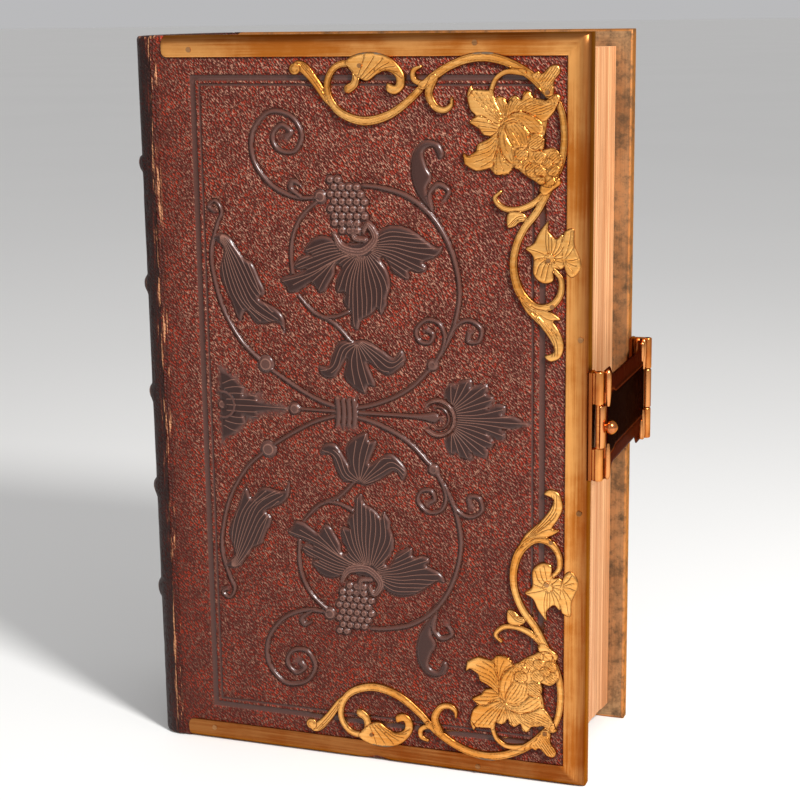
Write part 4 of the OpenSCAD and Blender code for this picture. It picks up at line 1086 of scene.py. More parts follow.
def mount_shapes():
    return [
        # leaf and bead that end the long arm
        engraved([[-60.4, -6], [-59.2, -5], [-57.4, -5.6], [-55.6, -7.6], [-53.4, -10.8], [-51.4, -14.6],
                  [-53.6, -13.2], [-56.4, -9.6], [-58.4, -7.6], [-59.6, -7]],
                 ribs=[[[-58.6, -5.8], [-55.7, -9.2], [-52.2, -14]],
                       [[-57.8, -5.7], [-54.9, -8.8], [-51.9, -13.8]]],
                 level=0.8),
        Bead(-59.9, -6.7, 1.2, level=0.8, ring=0.55),
        # long scroll with its two inner curls, and the crest between them
        rounded([[-48.6, -10.6, 1.9], [-47.2, -9.5, 1.7], [-47, -7.2, 1.6], [-48.8, -5.7, 1.5],
                 [-51.4, -6.5, 1.4], [-53, -9.4, 1.4], [-52.4, -12.8, 1.5], [-50, -15.4, 1.7],
                 [-45.4, -16.8, 1.9], [-40.4, -15.7, 1.8], [-36, -12.8, 1.6], [-32, -8.9, 1.5]]),
        engraved([[-49, -5.4], [-46.8, -3.9], [-43.4, -3.5], [-40.2, -4.3], [-38.2, -5.8], [-36.8, -8],
                  [-37, -10.4], [-38.8, -11.7], [-40.6, -11], [-40.4, -9.4], [-38.8, -9.8], [-38.8, -8.2],
                  [-40.6, -7.2], [-42.4, -7.8], [-44.6, -9.1], [-46.6, -8.2]],
                 ribs=[[[-46.4, -8], [-45.6, -6], [-45, -4.2]],
                       [[-45.4, -8.6], [-42.6, -6.2], [-41.2, -4.8]],
                       [[-43.4, -8.4], [-41, -6.6], [-38.8, -6.3]],
                       [[-42.2, -8], [-39.9, -7], [-37.5, -8.4]]], level=0.9),
        rounded([[-33.4, -6.3, 0.6], [-34.9, -7, 1.1], [-34.9, -8.7, 1.2], [-33.2, -9.5, 1.2],
                 [-31.4, -8.8, 1.3]],
                level=0.9, lines=()),
        # arm to the corner, its comma curl and its small offshoot
        rounded([[-33.2, -10, 1.5], [-30.6, -8, 1.8], [-27.4, -6.1, 1.7], [-23.6, -4.8, 1.8],
                 [-19.6, -4.6, 1.9], [-15.4, -5.8, 1.8], [-11.6, -8, 1.8], [-8.4, -11, 1.8],
                 [-6.9, -13, 1.4]], level=0.85),
        rounded([[-30.8, -8.6, 1.6], [-31.9, -11.4, 1.7], [-30.7, -13.9, 1.5], [-28.8, -14.6, 1.3],
                 [-27.3, -13.6, 1], [-27.3, -12.2, 0.5]], level=0.75),
        rounded([[-19.4, -11.2, 1], [-18.4, -8.7, 1], [-16.2, -7.3, 1.1], [-13, -7.5, 1.3]], lines=()),
        engraved([[-11.2, -8], [-10.1, -7.1], [-9.3, -7.6], [-7.7, -6.2], [-6.2, -6.1], [-5.7, -7.4],
                  [-6.9, -9.1], [-7, -11.4], [-8.6, -11.8], [-9.8, -9.8]],
                 ribs=[[[-10.6, -8.6], [-9.9, -7.4]], [[-10, -9.6], [-8, -6.8]],
                       [[-9.5, -10.4], [-6.6, -6.5]], [[-8.9, -11.2], [-6.1, -7.3]],
                       [[-8, -11.4], [-6.9, -9.4]]], lines=2, level=0.9),
        # stem along the fore-edge, its curl and the small leaf under it
        rounded([[-6.6, -12, 1.2], [-5.3, -15.4, 1.4], [-4.9, -20, 1.5], [-5.5, -24.4, 1.5],
                 [-7.1, -28, 1.5]]),
        rounded([[-7.8, -29.2, 1.3], [-10.4, -31.9, 1.4], [-13.6, -33.4, 1.3], [-16.8, -33.3, 1.2],
                 [-18.6, -31.5, 1], [-17.4, -30.1, 0.7]], level=0.75),
        engraved([[-16, -34.2], [-13.2, -34], [-11.8, -35.8], [-13.6, -36], [-14.6, -36.8], [-16.1, -37]],
                 ribs=[[[-12.5, -34.6], [-14.2, -35], [-15.8, -36.6]],
                       [[-12.3, -35.4], [-14, -35.7], [-15, -36.6]]],
                 level=0.75),
        # lower arm, its volute and the leaf at its end
        rounded([[-7.6, -29.2, 1.4], [-10.2, -33.8, 1.6], [-12.8, -37.2, 1.6], [-14.5, -41.2, 1.6],
                 [-14.8, -45.4, 1.7], [-13.5, -49.7, 1.9], [-10.6, -52.4, 1.8], [-7.6, -52.2, 1.6],
                 [-5.6, -50, 1.4], [-5.3, -47, 1.2], [-6.6, -45.2, 1], [-7.6, -44.4, 1]], level=0.85),
        engraved([[-13.8, -50.4], [-12.4, -53.4], [-9.6, -56.1], [-7.5, -58.8], [-6.7, -61], [-8.6, -62],
                  [-7.4, -63.1], [-5.4, -62.2], [-4.7, -59.6], [-5.6, -57], [-6.8, -55.1], [-5.4, -54.7],
                  [-7.4, -53.2], [-10.6, -52.6]],
                 ribs=[[[-13, -51.6], [-9.2, -56.2], [-7.1, -59.4], [-7, -61.8]],
                       [[-12.4, -52], [-8.4, -55.8], [-6.2, -58.8], [-6, -61.8]],
                       [[-11.8, -52.3], [-8.2, -54.6], [-5.9, -54.9]]], level=0.75),
        rounded([[-8.7, -29.5, 2.1], [-6.5, -28, 2.1]], level=1.05, lines=()),
        # small flower that crosses onto the rim
        engraved([[-12.5, -41], [-10.8, -39.8], [-9.7, -37.6], [-7.9, -35.5], [-7.9, -37.4], [-6.4, -38.9],
                  [-5.2, -38], [-4.3, -40], [-4.4, -43.6], [-5.4, -44.9], [-6.8, -44.9], [-6.9, -47.2],
                  [-9, -47.7], [-10.9, -46], [-11, -42.6]],
                 ribs=[[[-8, -42.3], [-9.7, -41.6], [-12, -41]],
                       [[-8.2, -43], [-9.6, -44], [-10.2, -45.8]],
                       [[-7.6, -43.3], [-8, -45], [-8.4, -47]], [[-7, -43.3], [-6.2, -44], [-5.6, -44.6]],
                       [[-6.6, -42.8], [-5.4, -42.6], [-4.6, -42.2]],
                       [[-6.8, -42.2], [-5.6, -40.4], [-5.2, -38.8]],
                       [[-7.4, -41.9], [-7.2, -40.2], [-7.3, -38.6]],
                       [[-7.9, -42.1], [-8.4, -39.6], [-8.3, -36.6]]],
                 level=0.85),
        engraved([[-5, -38.2], [-4.4, -37.2], [-2.9, -37], [-2.7, -40], [-1.4, -43.4], [-1.9, -45.4],
                  [-3.3, -46.4], [-4.6, -45], [-5, -42]],
                 ribs=[[[-4.6, -42.4], [-3.8, -40], [-3.4, -37.6]],
                       [[-4.4, -43], [-3.2, -43], [-2, -42.6]],
                       [[-4.4, -43.6], [-3.4, -44.6], [-2.8, -45.6]]], level=0.9),
        Bead(-7.6, -42.8, 1.0, level=1.0, ring=0),
    ] + vine_leaf() + grapes()


MOUNT_RISE = 0.38        # face of a mount over the leather
MOUNT_RELIEF = 0.46
CUT = 0.1                # depth of the engraved lines
STAINED_FROM = 31        # how far from the corner, down the fore-edge, tarnish is added


def corner_mount(name, shapes, flip):
    """Plate cut along the outer edges of its shapes, carved on its face and stepped over the rim."""
    rings = [s.edge() for s in shapes]
    fine = thinned(np.concatenate([s.sown() for s in shapes]), 0.13)
    flat, faces = triangulated(np.concatenate(rings + [fine]), joined(rings))
    found = carve(shapes, flat[faces].mean(1), 1, 0)[1]
    used, faces = np.unique(faces[found["inside"] > 0.004], return_inverse=True)
    flat, faces = flat[used], faces.reshape(-1, 3)
    high, marks = carve(shapes, flat, MOUNT_RELIEF, -CUT)
    off_rim = np.minimum(FORE_X - FLANGE - flat[:, 0], COVER_H - FLANGE - flat[:, 1])
    bottom = np.where(off_rim < 0, OUT_Y, FIELD_Y) - 0.01
    top = np.maximum(FIELD_Y + MOUNT_RISE + high, bottom + 0.12)
    stained = smooth(-off_rim, 0.1, 0.5) * (flat[:, 1] > COVER_H - STAINED_FROM)
    # painted shade: the edge mark paints the mount's cut edges and walls browner
    marks = {"engraved": marks["line"], "dark": marks["dark"], "stained": stained,
             "edge": 0.85 * (1 - smooth(marks["inside"], 0.05, 0.45))}
    points, polygons = closed_plate(flat, faces, top, bottom)
    if flip:
        points[:, 2] = COVER_H - points[:, 2]
        polygons = turned_over(polygons)
    marks = {k: np.append(v, np.zeros(len(flat))) for k, v in marks.items()}
    return build(name, points, polygons, MOUNT_BRASS, marks, crease=60)


corner_shapes = shifted(mount_shapes(), FORE_X, COVER_H)
finish_piece(corner_mount("head_mount", corner_shapes, False), "front_cover",
             "head_corner_mount")
finish_piece(corner_mount("tail_mount", corner_shapes, True), "front_cover",
             "tail_corner_mount")


# Spine: a rounded section with tight shoulders at the joints, raised bands and turned-in caps

SPINE_HALF = 21.1
SPINE_RISE = 7.0
SHOULDER = 4.5
LEATHER_T = 1.3
BAND_H = 1.1
BAND_W = 3.4
BANDS_FROM_HEAD = (26, 51.5, 75, 96, 119)
CAP_ROUND = 0.8
CAP_T = 2.85             # thickness of the leather where it is turned in


def spine_section(count, inset=0.0, rise=SPINE_RISE, half=SPINE_HALF, shoulder=SHOULDER):
    """Points of the spine's section from the front joint to the back one, and their outward directions."""
    reach = half - shoulder
    radius = (rise ** 2 - shoulder ** 2 + reach ** 2) / (2 * (rise - shoulder))
    centre = SPINE_X - rise + radius
    lean = math.atan2(reach, centre - SPINE_X)
    turn = math.pi / 2 - lean
    lengths = (shoulder * turn, radius * 2 * lean, shoulder * turn)
    along = np.linspace(0, sum(lengths), count)
    first = along < lengths[0]
    last = along > lengths[0] + lengths[1]
    angle = np.where(first, 1.5 * math.pi - along / shoulder,
                     np.where(last, math.pi / 2 + (sum(lengths) - along) / shoulder,
                              math.pi + lean - (along - lengths[0]) / radius))
    away = np.stack([np.cos(angle), np.sin(angle)], 1)
    corner = np.stack([np.full(count, SPINE_X), np.where(first, -reach, reach)], 1)
    middle = np.where((first | last)[:, None], corner, [[centre, 0]])
    size = np.where(first | last, shoulder, radius)[:, None] - inset
    return middle + away * size, away, along


def band_hill(z, down):
    """Height of a raised band at z, as a share, with the leather's small rise beside it."""
    off = abs(z - COVER_H * (1 - down / COVER_H)) / (BAND_W / 2)
    return math.sqrt(1 - off * off) if off < 1 else 0.12 * math.exp(-(off - 1) / 0.4)


def spine_rows():
    """Rows round the spine's leather: how far in from its outer face, how high, and whether outside."""
    ends = [0.12, 0.35, 0.7, 1.1]
    rows = []
    for z in ends + list(np.arange(1.7, COVER_H - 1.6, 0.6)) + [COVER_H - e for e in ends[::-1]]:
        share = min(min(z, COVER_H - z) / CAP_ROUND, 1)
        rows.append((CAP_ROUND * quarter(share), z, True))
    turned_in = [(1.4, 0.03), (CAP_T - 0.05, 0.15), (CAP_T, 1.0), (LEATHER_T, 1.05)]
    rows += [(inset, COVER_H - z, False) for inset, z in turned_in]
    return rows + [(inset, z, False) for inset, z in turned_in[::-1]]


def creases_at(z, along, creases):
    """Depth of the creases at one height: each runs along both joints, with its own start and length."""
    total = np.zeros(len(along))
    for place, start, length, depth, width in creases:
        share = (z - start) / length
        if 0 < share < 1:
            wander = 0.3 * math.sin(z * 0.4 + start)
            off = np.minimum(np.abs(along - place - wander), np.abs(along[-1] - along - place + wander))
            total += depth * math.sin(math.pi * share) * np.exp(-(off / width) ** 2)
    return total


def spine_leather():
    count = 96
    line, away, along = spine_section(count)
    raised = spine_section(count, 0, SPINE_RISE + BAND_H, SPINE_HALF - 0.2, SHOULDER + 1.5)[0]
    lift = np.clip(((raised - line) * away).sum(1), 0, None)
    edge = np.minimum(along, along[-1] - along)
    chance = np.random.default_rng(5)
    limits = ((0.6, 6.5), (0, 140), (6, 30), (0.05, 0.16), (0.12, 0.3))
    creases = [[chance.uniform(low, high) for low, high in limits] for _ in range(90)]
    points, wear_and_glint = [], []
    rows = spine_rows()
    for inset, z, outside in rows:
        out = np.full(count, -inset)
        worn = np.full(count, 0.3)
        if outside:
            worn = np.maximum(0.9 * np.exp(-edge / 0.7), 0.7 * math.exp(-min(z, COVER_H - z) / 1.2))
            for down in BANDS_FROM_HEAD:
                hill = band_hill(z, down)
                out += lift * hill
                worn = np.maximum(worn, 0.75 * hill * smooth(lift, 0.1, 0.8))
            out -= creases_at(z, along, creases)
        points.append(np.column_stack([line + away * out[:, None], np.full(count, z)]))
        wear_and_glint.append(worn)
    ends = [tuple(r * count for r in range(len(rows))),
            tuple(r * count + count - 1 for r in range(len(rows)))]
    faces = [ends[0][::-1], ends[1]]
    for r in range(len(rows)):
        a, b = r * count, (r + 1) % len(rows) * count
        faces += [(b + i, b + i + 1, a + i + 1, a + i) for i in range(count - 1)]
    # wear on the edges and the raised bands, which also places painted glints
    wear_and_glint = np.concatenate(wear_and_glint)
    # the spine mark paints the whole spine nearly black as painted shade
    marks = {"wear_and_glint": wear_and_glint, "spine": np.ones(len(wear_and_glint))}
    return build("spine_cover", np.concatenate(points), faces, LEATHER, marks, crease=50)


finish_piece(spine_leather(), "pages", "spine_leather")


# Leather over the joints: a thin strip along each, curved over the joint

JOINT_PROFILE = [(-43.7, 20.15), (-43.3, 20.75), (-42.95, 20.98), (-42.7, 21.03), (-42.4, 21.0),
                 (-42.0, 20.97), (-41.5, 20.93)]
STRIP_T = 0.3
STRIP_STEP = 0.5


def joint_strip(name, side):
    profile = through([(x, y, 0) for x, y in JOINT_PROFILE], 0.2)[:, :2]
    loop = np.concatenate([profile, (profile - [0, STRIP_T])[::-1]])
    zs = np.arange(0.35, COVER_H - 0.3, STRIP_STEP)
    chance = np.random.default_rng(11 + side)
    crinkle = np.cumsum(chance.normal(0, 0.03, (len(zs), 3)), 0)
    crinkle -= np.linspace(0, 1, len(zs))[:, None] * crinkle[-1]
    width, top = len(loop), len(profile)
    points, wear_and_glint = [], []
    for z, (wave, rub, _) in zip(zs, crinkle):
        lift = np.zeros(width)
        lift[:top] = 0.05 * np.sin(np.arange(top) * 1.3 + wave * 25) + 0.03 * chance.normal(0, 1, top)
        points.append(np.column_stack([loop[:, 0], side * (loop[:, 1] + lift), np.full(width, z)]))
        worn = np.full(width, 0.2)
        # wear along the strip, which also places the painted glints of the creases and cracks
        worn[:top] = 0.5 + 0.2 * math.sin(z * 0.23 + rub * 8)
        wear_and_glint.append(worn)
    faces = tube(len(zs), width)
    faces = turned_over(faces) if side < 0 else faces
    wear_and_glint = np.concatenate(wear_and_glint)
    # the spine mark at half paints the joint strip half dark as painted shade
    marks = {"wear_and_glint": wear_and_glint, "spine": np.full(len(wear_and_glint), 0.5)}
    strip = build(name, np.concatenate(points), faces, LEATHER, marks)
    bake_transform(strip)


joint_strip("front_joint_leather", -1)
joint_strip("back_joint_leather", 1)


# Brass rims: a bent channel round three sides of each cover, mitred at the fore-edge corners

COVER_T = OUT_Y - IN_Y
RIM_RUN = 85.4           # place of the mitres, counted like the steps along head and tail
INNER_ROUND = 0.56
OUTER_ROUND = (2.3, 1.7)
END_ROUND = 1.4
DENT = (4, 2.2, 0.4)     # place, half width and depth of the dent in the front tail rim


def rim_section():
    """Distances in from the outer edge and out from the cover's inner face, once round the channel."""
    turn = np.radians(np.linspace(0, 90, 9))
    wide, deep = OUTER_ROUND
    section = [(FLANGE, 0.12), (FLANGE - 0.12, 0.0), (2.6, 0.0)]
    section += [(INNER_ROUND * (1 - math.sin(a)), INNER_ROUND * (1 - math.cos(a))) for a in turn]
    section.append((0.0, 1.4))
    section += [(wide * (1 - math.cos(a)), COVER_T - deep * (1 - math.sin(a))) for a in turn]
    section += [(2.9, COVER_T), (3.5, COVER_T), (FLANGE - 0.35, COVER_T), (FLANGE - 0.14, COVER_T - 0.02),
                (FLANGE - 0.03, COVER_T - 0.1), (FLANGE, COVER_T - 0.22)]
    section += [(FLANGE, COVER_T - RIM_T), (RIM_T, COVER_T - RIM_T), (RIM_T, RIM_T), (FLANGE, RIM_T)]
    return np.array(section)


def rim_end(u, k):
    """Distances in at k millimetres from a rim's end, where its inner edge and its corner are rounded."""
    away = max(0, END_ROUND - k)
    bound = FLANGE - (END_ROUND - math.sqrt(END_ROUND ** 2 - away ** 2))
    return np.maximum(np.minimum(u, bound), np.where(u < 0.6, 0.35 * max(0, 1 - k / 0.35), 0))


def brass_rim(name, side, body, material, node):
    section = rim_section()
    outer = section[:, 1] > COVER_T - 1.75
    face = section[:, 1] > 2
    # painted shade along the flange's inner edge and on the channel's rounding on the cover's inner side
    corner = (section[:, 0] > FLANGE - 0.1) | ((section[:, 0] < 0.5) & ~face)
    # painted reflection: browner towards the rounded outer edge, for the dark it mirrors
    worn = np.interp(section[:, 0], [0, 1.2, 2.3, 3.2], [0.95, 0.7, 0.3, 0.08]) * face
    worn = np.where(corner, 0.9, worn)
    chance = np.random.default_rng(21 + side)
    start = [0, 0.12, 0.3, 0.6, 1.0]
    spots = [("head", k) for k in np.append(start, np.arange(1.4, 85, 1.6))]
    spots += [("side", k) for k in np.linspace(0, 1, 94)]
    spots += [("tail", k) for k in np.append(np.arange(84.2, 1.3, -1.6), start[::-1])]
    points, edge, upright = [], [], []
    for part, k in spots:
        v = section[:, 1].copy()
        v[outer] += 0.018 * math.sin(len(points) * 0.7 + side) + chance.normal(0, 0.012)
        if part == "side":
            u = section[:, 0]
            x, z = FORE_X - u, COVER_H - u - k * (COVER_H - 2 * u)
            v[outer] -= 0.1 * (min(k, 1 - k) < 1e-6)
            # painted shade: the lower half of the fore-edge rim is browner, where the light falls weaker
            low = 0.35 * smooth(k, 0.5, 1.0)
        else:
            u = rim_end(section[:, 0], k)
            x = RIM_X0 + min(k / RIM_RUN, 1) * (FORE_X - RIM_X0 - u)
            z = COVER_H - u if part == "head" else u
            # painted shade: the tail rim is browner, where the light falls weaker
            low = 0.8 * (part == "tail")
        if side < 0 and part == "tail":
            place, half, deep = DENT
            v[outer] -= deep * np.exp(-((x[outer] - place) / half) ** 2) * (section[outer, 0] < 2)
        points.append(np.column_stack([x, side * (IN_Y + v), z]))
        edge.append(np.maximum(worn, low * face))
        upright.append(np.full(len(section), part == "side"))
    faces = tube(len(spots), len(section))
    faces = turned_over(faces) if side < 0 else faces
    marks = {"edge": np.concatenate(edge), "upright": np.concatenate(upright)}
    finish_piece(build(name, np.concatenate(points), faces, material, marks, crease=40), body,
                 node)


brass_rim("front_brass_rim", -1, "front_cover", RIM_BRASS, "front_rim")
brass_rim("back_brass_rim", 1, "back_cover", BACK_BRASS, "back_rim")


# Pages, cut a little unevenly, with the hollow of the fore-edge

HOLLOW = 1.6             # of the fore-edge
LEAF_T = 0.26            # of one fold of leaves


def leaves():
    back_line = spine_section(160, LEATHER_T)[0]
    half = IN_Y - PLAY
    flare = np.array([half + 0.01, half + 1.5, back_line[:, 1].max()])
    chance = np.random.default_rng(3)
    ys = np.concatenate([-flare[::-1], np.arange(-half, half, LEAF_T), [half], flare])
    order = np.argsort(back_line[:, 1])
    back = np.interp(ys, back_line[order, 1], back_line[order, 0])
    inner = np.abs(ys) <= half + 0.001
    front = FORE_X - SQUARE - HOLLOW * (1 - np.clip(ys / half, -1, 1) ** 2)
    wave = np.interp(ys, np.linspace(-20, 20, 26), chance.normal(0, 0.05, 26))
    front = np.where(inner, front + wave + chance.normal(0, 0.035, len(ys)), SPINE_X + 0.02)
    low = SQUARE + np.where(inner, chance.normal(0, 0.03, len(ys)), 0)
    high = COVER_H - SQUARE - np.where(inner, np.abs(chance.normal(0, 0.03, len(ys))), 0)
    share = np.linspace(0, 1, 19)
    loops = []
    for y, x0, x1, z0, z1 in zip(ys, back, front, low, high):
        loops += [(x1 + 0.02 * math.sin(9 * s + y), y, z0 + (z1 - z0) * s) for s in share]
        loops += [(x1 + (x0 - x1) * s, y, z1) for s in share[1:]]
        loops += [(x0, y, z1 + (z0 - z1) * s) for s in (0.5, 1.0)]
        loops += [(x0 + (x1 - x0) * s, y, z0) for s in share[1:-1]]
    faces = turned_over(tube(len(ys), len(loops) // len(ys)))
    return build("leaves", loops, faces, PAGES, crease=30)


finish_piece(leaves(), "pages", "page_block")

SEWING_R = 0.86
SEWING_HALF = 14         # of the sewn bands, from the middle of the spine


def sewn_band(name, z):
    """Band wound with silk in two colours, along the inside of the spine's leather."""
    line, away, _ = spine_section(400, LEATHER_T + 0.9)
    used = np.abs(line[:, 1]) < SEWING_HALF
    line, away = line[used], away[used]
    sides = 12
    points, turn = [], []
    for k, (p, n) in enumerate(zip(line, away)):
        r = SEWING_R + math.sin(k * math.pi / 2) * 0.04
        for a in np.linspace(0, 2 * math.pi, sides, endpoint=False):
            out = n * r * math.cos(a)
            points.append((p[0] + out[0], p[1] + out[1], z + r * math.sin(a)))
        turn += [float(k // 5 % 2)] * sides
    return build(name, points, turned_over(tube(len(line), sides)), SILK, {"turn": turn})


finish_piece(sewn_band("head_sewing", COVER_H - SQUARE + 0.9), "pages", "head_band")
finish_piece(sewn_band("tail_sewing", SQUARE - 0.9), "pages", "tail_band")


# Clasp: leaves on the rims, a plate on the hinge pin and its tongue over the catch bar

BAR_X = FORE_X + 1.8
HINGE_X = FORE_X + 3.6
CLASP_Y = (IN_Y + OUT_Y) / 2
CLASP_Z = COVER_H / 2
CLASP_L = 22.0
KNUCKLE_L = 8.4
KNUCKLE_R = 0.95
KNUCKLE_IN = KNUCKLE_L / 2 + 0.15
BAR_REACH = 0.68
PLATE_X = BAR_X + BAR_REACH
PLATE_T = 0.8
PLATE_Y = CLASP_Y - KNUCKLE_R - 0.2
WAIST = CLASP_L / 2 - 2
MARGIN = 3.3             # width of the plate's sloped margins


class Parts:
    """Points, faces and edge marks of a piece that is made of several closed shapes."""

    def __init__(self):
        self.points = []
        self.faces = []
        self.edge = []

    def grid(self, rows, edge=0.0):
        """Closed shape through rows of as many points each; every row is a ring."""
        start = len(self.points)
        self.faces += [tuple(start + v for v in f) for f in tube(len(rows), len(rows[0]))]
        self.points += [tuple(p) for r in rows for p in r]
        self.edge += list(np.broadcast_to(edge, len(self.points) - start))

    def turned(self, x, y, profile, edge=0.0, sides=24, across=False):
        """Body of revolution about an upright line, or about one along X; the profile is (radius, place)."""
        angle = np.linspace(0, 2 * np.pi, sides, endpoint=False)
        rows = []
        for r, at in profile:
            level = np.full(sides, at)
            if across:
                rows.append(np.stack([x + level, y + r * np.cos(angle), CLASP_Z + r * np.sin(angle)], 1))
            else:
                rows.append(np.stack([x + r * np.cos(angle), y + r * np.sin(angle), level], 1))
        self.grid(rows, edge)

    def block(self, low, high, bevel=0.15, edge=0.0):
        """Upright block with bevelled corners."""
        (x0, y0, z0), (x1, y1, z1) = low, high
        rows = []
        for inset, z in ((bevel, z0), (0, z0 + bevel), (0, z1 - bevel), (bevel, z1)):
            b = inset + bevel
            rows.append([(x1 - inset, y0 + b, z), (x1 - inset, y1 - b, z), (x1 - b, y1 - inset, z),
                         (x0 + b, y1 - inset, z), (x0 + inset, y1 - b, z), (x0 + inset, y0 + b, z),
                         (x0 + b, y0 + inset, z), (x1 - b, y0 + inset, z)])
        self.grid(rows, edge)

    def made(self, name, material, crease=40):
        marks = {"edge": self.edge, "upright": [1] * len(self.points)}
        return build(name, self.points, self.faces, material, marks, crease)


def drop(r, high, low, point=0.35):
    """Profile of a long drop between two heights, blunt at the first and drawn out at the second."""
    share = np.array([0, 0.03, 0.08, 0.16, 0.3, 0.5, 0.7, 0.85, 0.94, 0.985, 1])
    size = np.array([0.25, 0.6, 0.84, 0.97, 1, 0.96, 0.85, 0.68, 0.5, 0.34, 0.12])
    size = np.where(share < 0.5, size, point + (1 - point) * size) * r
    size[-1] *= 0.4
    made = list(zip(size, high + (low - high) * share))
    return made if low > high else made[::-1]


def knuckle(low, high):
    """Profile of a hinge knuckle with turned edges."""
    ends = [(0.55, 0), (0.86, 0.02), (0.97, 0.12), (1, 0.3)]
    made = [(KNUCKLE_R * r, low + off) for r, off in ends] + [(KNUCKLE_R, (low + high) / 2)]
    return made + [(KNUCKLE_R * r, high - off) for r, off in ends[::-1]]


def rim_leaf(name, axis_x, y, y0, y1, body, node):
    parts = Parts()
    half = CLASP_L / 2
    # painted shadow: the leaf's plate on the rim is painted brown through its edge mark, and its necks less
    # so
    parts.block((FORE_X - 0.02, y0, CLASP_Z - half), (FORE_X + 0.7, y1, CLASP_Z + half), 0.12, 0.9)
    neck = 0.66
    for s in (1, -1):
        low, high = sorted((CLASP_Z + s * KNUCKLE_IN, CLASP_Z + s * half))
        parts.turned(axis_x, y, knuckle(low, high))
        parts.block((FORE_X + 0.5, y - neck, low), (axis_x, y + neck, high), 0.25, 0.35)
        if axis_x == HINGE_X:
            far = CLASP_Z + s * (half + 0.05)
            middle = (FORE_X + 0.7 + axis_x - KNUCKLE_R) / 2
            parts.turned(middle, y - 0.25, drop(0.8, far, CLASP_Z + s * 3.6), 0.1, 20)
    finish_piece(parts.made(name, HINGE_BRASS), body, node)


rim_leaf("catch_leaf", BAR_X, -CLASP_Y, -OUT_Y + 1, -IN_Y - 0.5, "front_cover", "catch_plate")
rim_leaf("hinge_leaf", HINGE_X, CLASP_Y, IN_Y + 0.5, OUT_Y - 1, "back_cover", "clasp_leaf")


def plate_row(y, half, share):
    """One row across the clasp's plate, outer face and inner face, with its edge marks."""
    slope = WAIST - MARGIN
    line_z = slope - 0.15 + 0.9 * smooth(-y, 9.5, 13.0)
    groove = line_z + np.array([-0.3, -0.15, 0, 0.15, 0.3])
    zs = np.sort(np.concatenate([share * half, groove, -groove]))
    far = np.abs(zs)
    out = np.interp(far, [0, slope, CLASP_L / 2], [PLATE_T, PLATE_T, PLATE_T * 0.45])
    out = out - 0.1 * np.clip((far / half - 0.95) / 0.05, 0, 1) ** 2
    out = out - 0.09 * np.exp(-((far - line_z) / 0.16) ** 2)
    out = out - 0.2 * quarter(min(PLATE_Y - abs(y), 0.25) / 0.25)
    row = np.concatenate([np.stack([PLATE_X + out, np.full(len(zs), y), CLASP_Z + zs], 1),
                          np.stack([np.full(len(zs), PLATE_X), np.full(len(zs), y), CLASP_Z + zs[::-1]],
                                   1)])
    # painted highlights: the sloped margins and the engraved line are painted lighter through the edge mark
    margin = np.clip((far - slope) / 0.5, 0, 1) * 0.3 + 0.9 * np.exp(-((far - line_z) / 0.14) ** 2)
    return row[::-1], np.append(np.clip(margin, 0, 1), np.zeros(len(zs)))[::-1]


def tongue_rows():
    """Rings of the tongue over the bar, bulged like a bead."""
    far = PLATE_X + PLATE_T - BAR_X
    near = BAR_REACH + 0.04
    turn = np.radians(np.linspace(-62, 90, 20))
    ends = [0.9, 0.96, 0.99, 1]
    rows = []
    for at in np.concatenate([[-e for e in ends[::-1]], np.linspace(-0.8, 0.8, 11), ends]):
        outer = near + (far - near) * (0.72 + 0.28 * math.sqrt(1 - at ** 2 * 0.999))
        radius = np.append(np.full(20, outer), np.full(20, BAR_REACH))
        angle = np.append(turn, turn[::-1])
        rows.append(np.stack([BAR_X + radius * np.cos(angle), -CLASP_Y + radius * np.sin(angle),
                              np.full(40, CLASP_Z + at * KNUCKLE_L / 2)], 1))
    return rows


def clasp_plate():
    """Plate with flared ends, sloped long margins and an engraved line along each of them."""
    near_end = [np.linspace(10.2, 12.6, 8), np.linspace(12.9, PLATE_Y, 12)]
    ys = np.concatenate([-near_end[1][::-1], -near_end[0][::-1], np.linspace(-9.6, 9.6, 30)] + near_end)
    wide = CLASP_L / 2
    half = np.interp(np.abs(ys) / PLATE_Y, [0, 0.58, 0.66, 0.74, 1],
                     [WAIST, WAIST, WAIST + 0.4, wide, wide])
    ends = np.array([0.66, 0.74, 0.82, 0.9, 0.95, 0.985, 1])
    share = np.concatenate([-ends[::-1], np.linspace(-0.6, 0.6, 21), ends])
    rows, edge = zip(*(plate_row(y, h, share) for y, h in zip(ys, half)))
    parts = Parts()
    parts.grid(rows, np.concatenate(edge))
    # painted highlight over the whole tongue
    parts.grid(tongue_rows(), 1.0)
    low, high = CLASP_Z - KNUCKLE_L / 2, CLASP_Z + KNUCKLE_L / 2
    parts.block((PLATE_X, -CLASP_Y + 0.3, low), (PLATE_X + PLATE_T * 0.9, -PLATE_Y + 0.4, high), 0.15, 0.4)
    # knuckle on the pin, its neck and the drops that end the plate's flares
    # the knuckle, its neck and the drops carry painted highlights through their edge marks
    parts.turned(HINGE_X, CLASP_Y, knuckle(low, high), 0.9)
    parts.block((PLATE_X, PLATE_Y - 0.4, low), (PLATE_X + PLATE_T, CLASP_Y, high), 0.15, 0.3)
    face = PLATE_X + PLATE_T - 0.1
    for s in (1, -1):
        far = CLASP_Z + s * (wide + 0.1)
        parts.turned(face, -PLATE_Y + 0.75, drop(0.7, far, CLASP_Z + s * 3.7), 1.0, 20)
        parts.turned(face, PLATE_Y - 0.7, drop(0.62, far, CLASP_Z + s * 4.4), 0.9, 20)
        parts.turned(face, PLATE_Y - 2.2, drop(0.55, far - s * 0.4, CLASP_Z + s * 6.4), 0.9, 20)
    return parts.made("clasp_plate", BRASS_PAINTED_DARK)


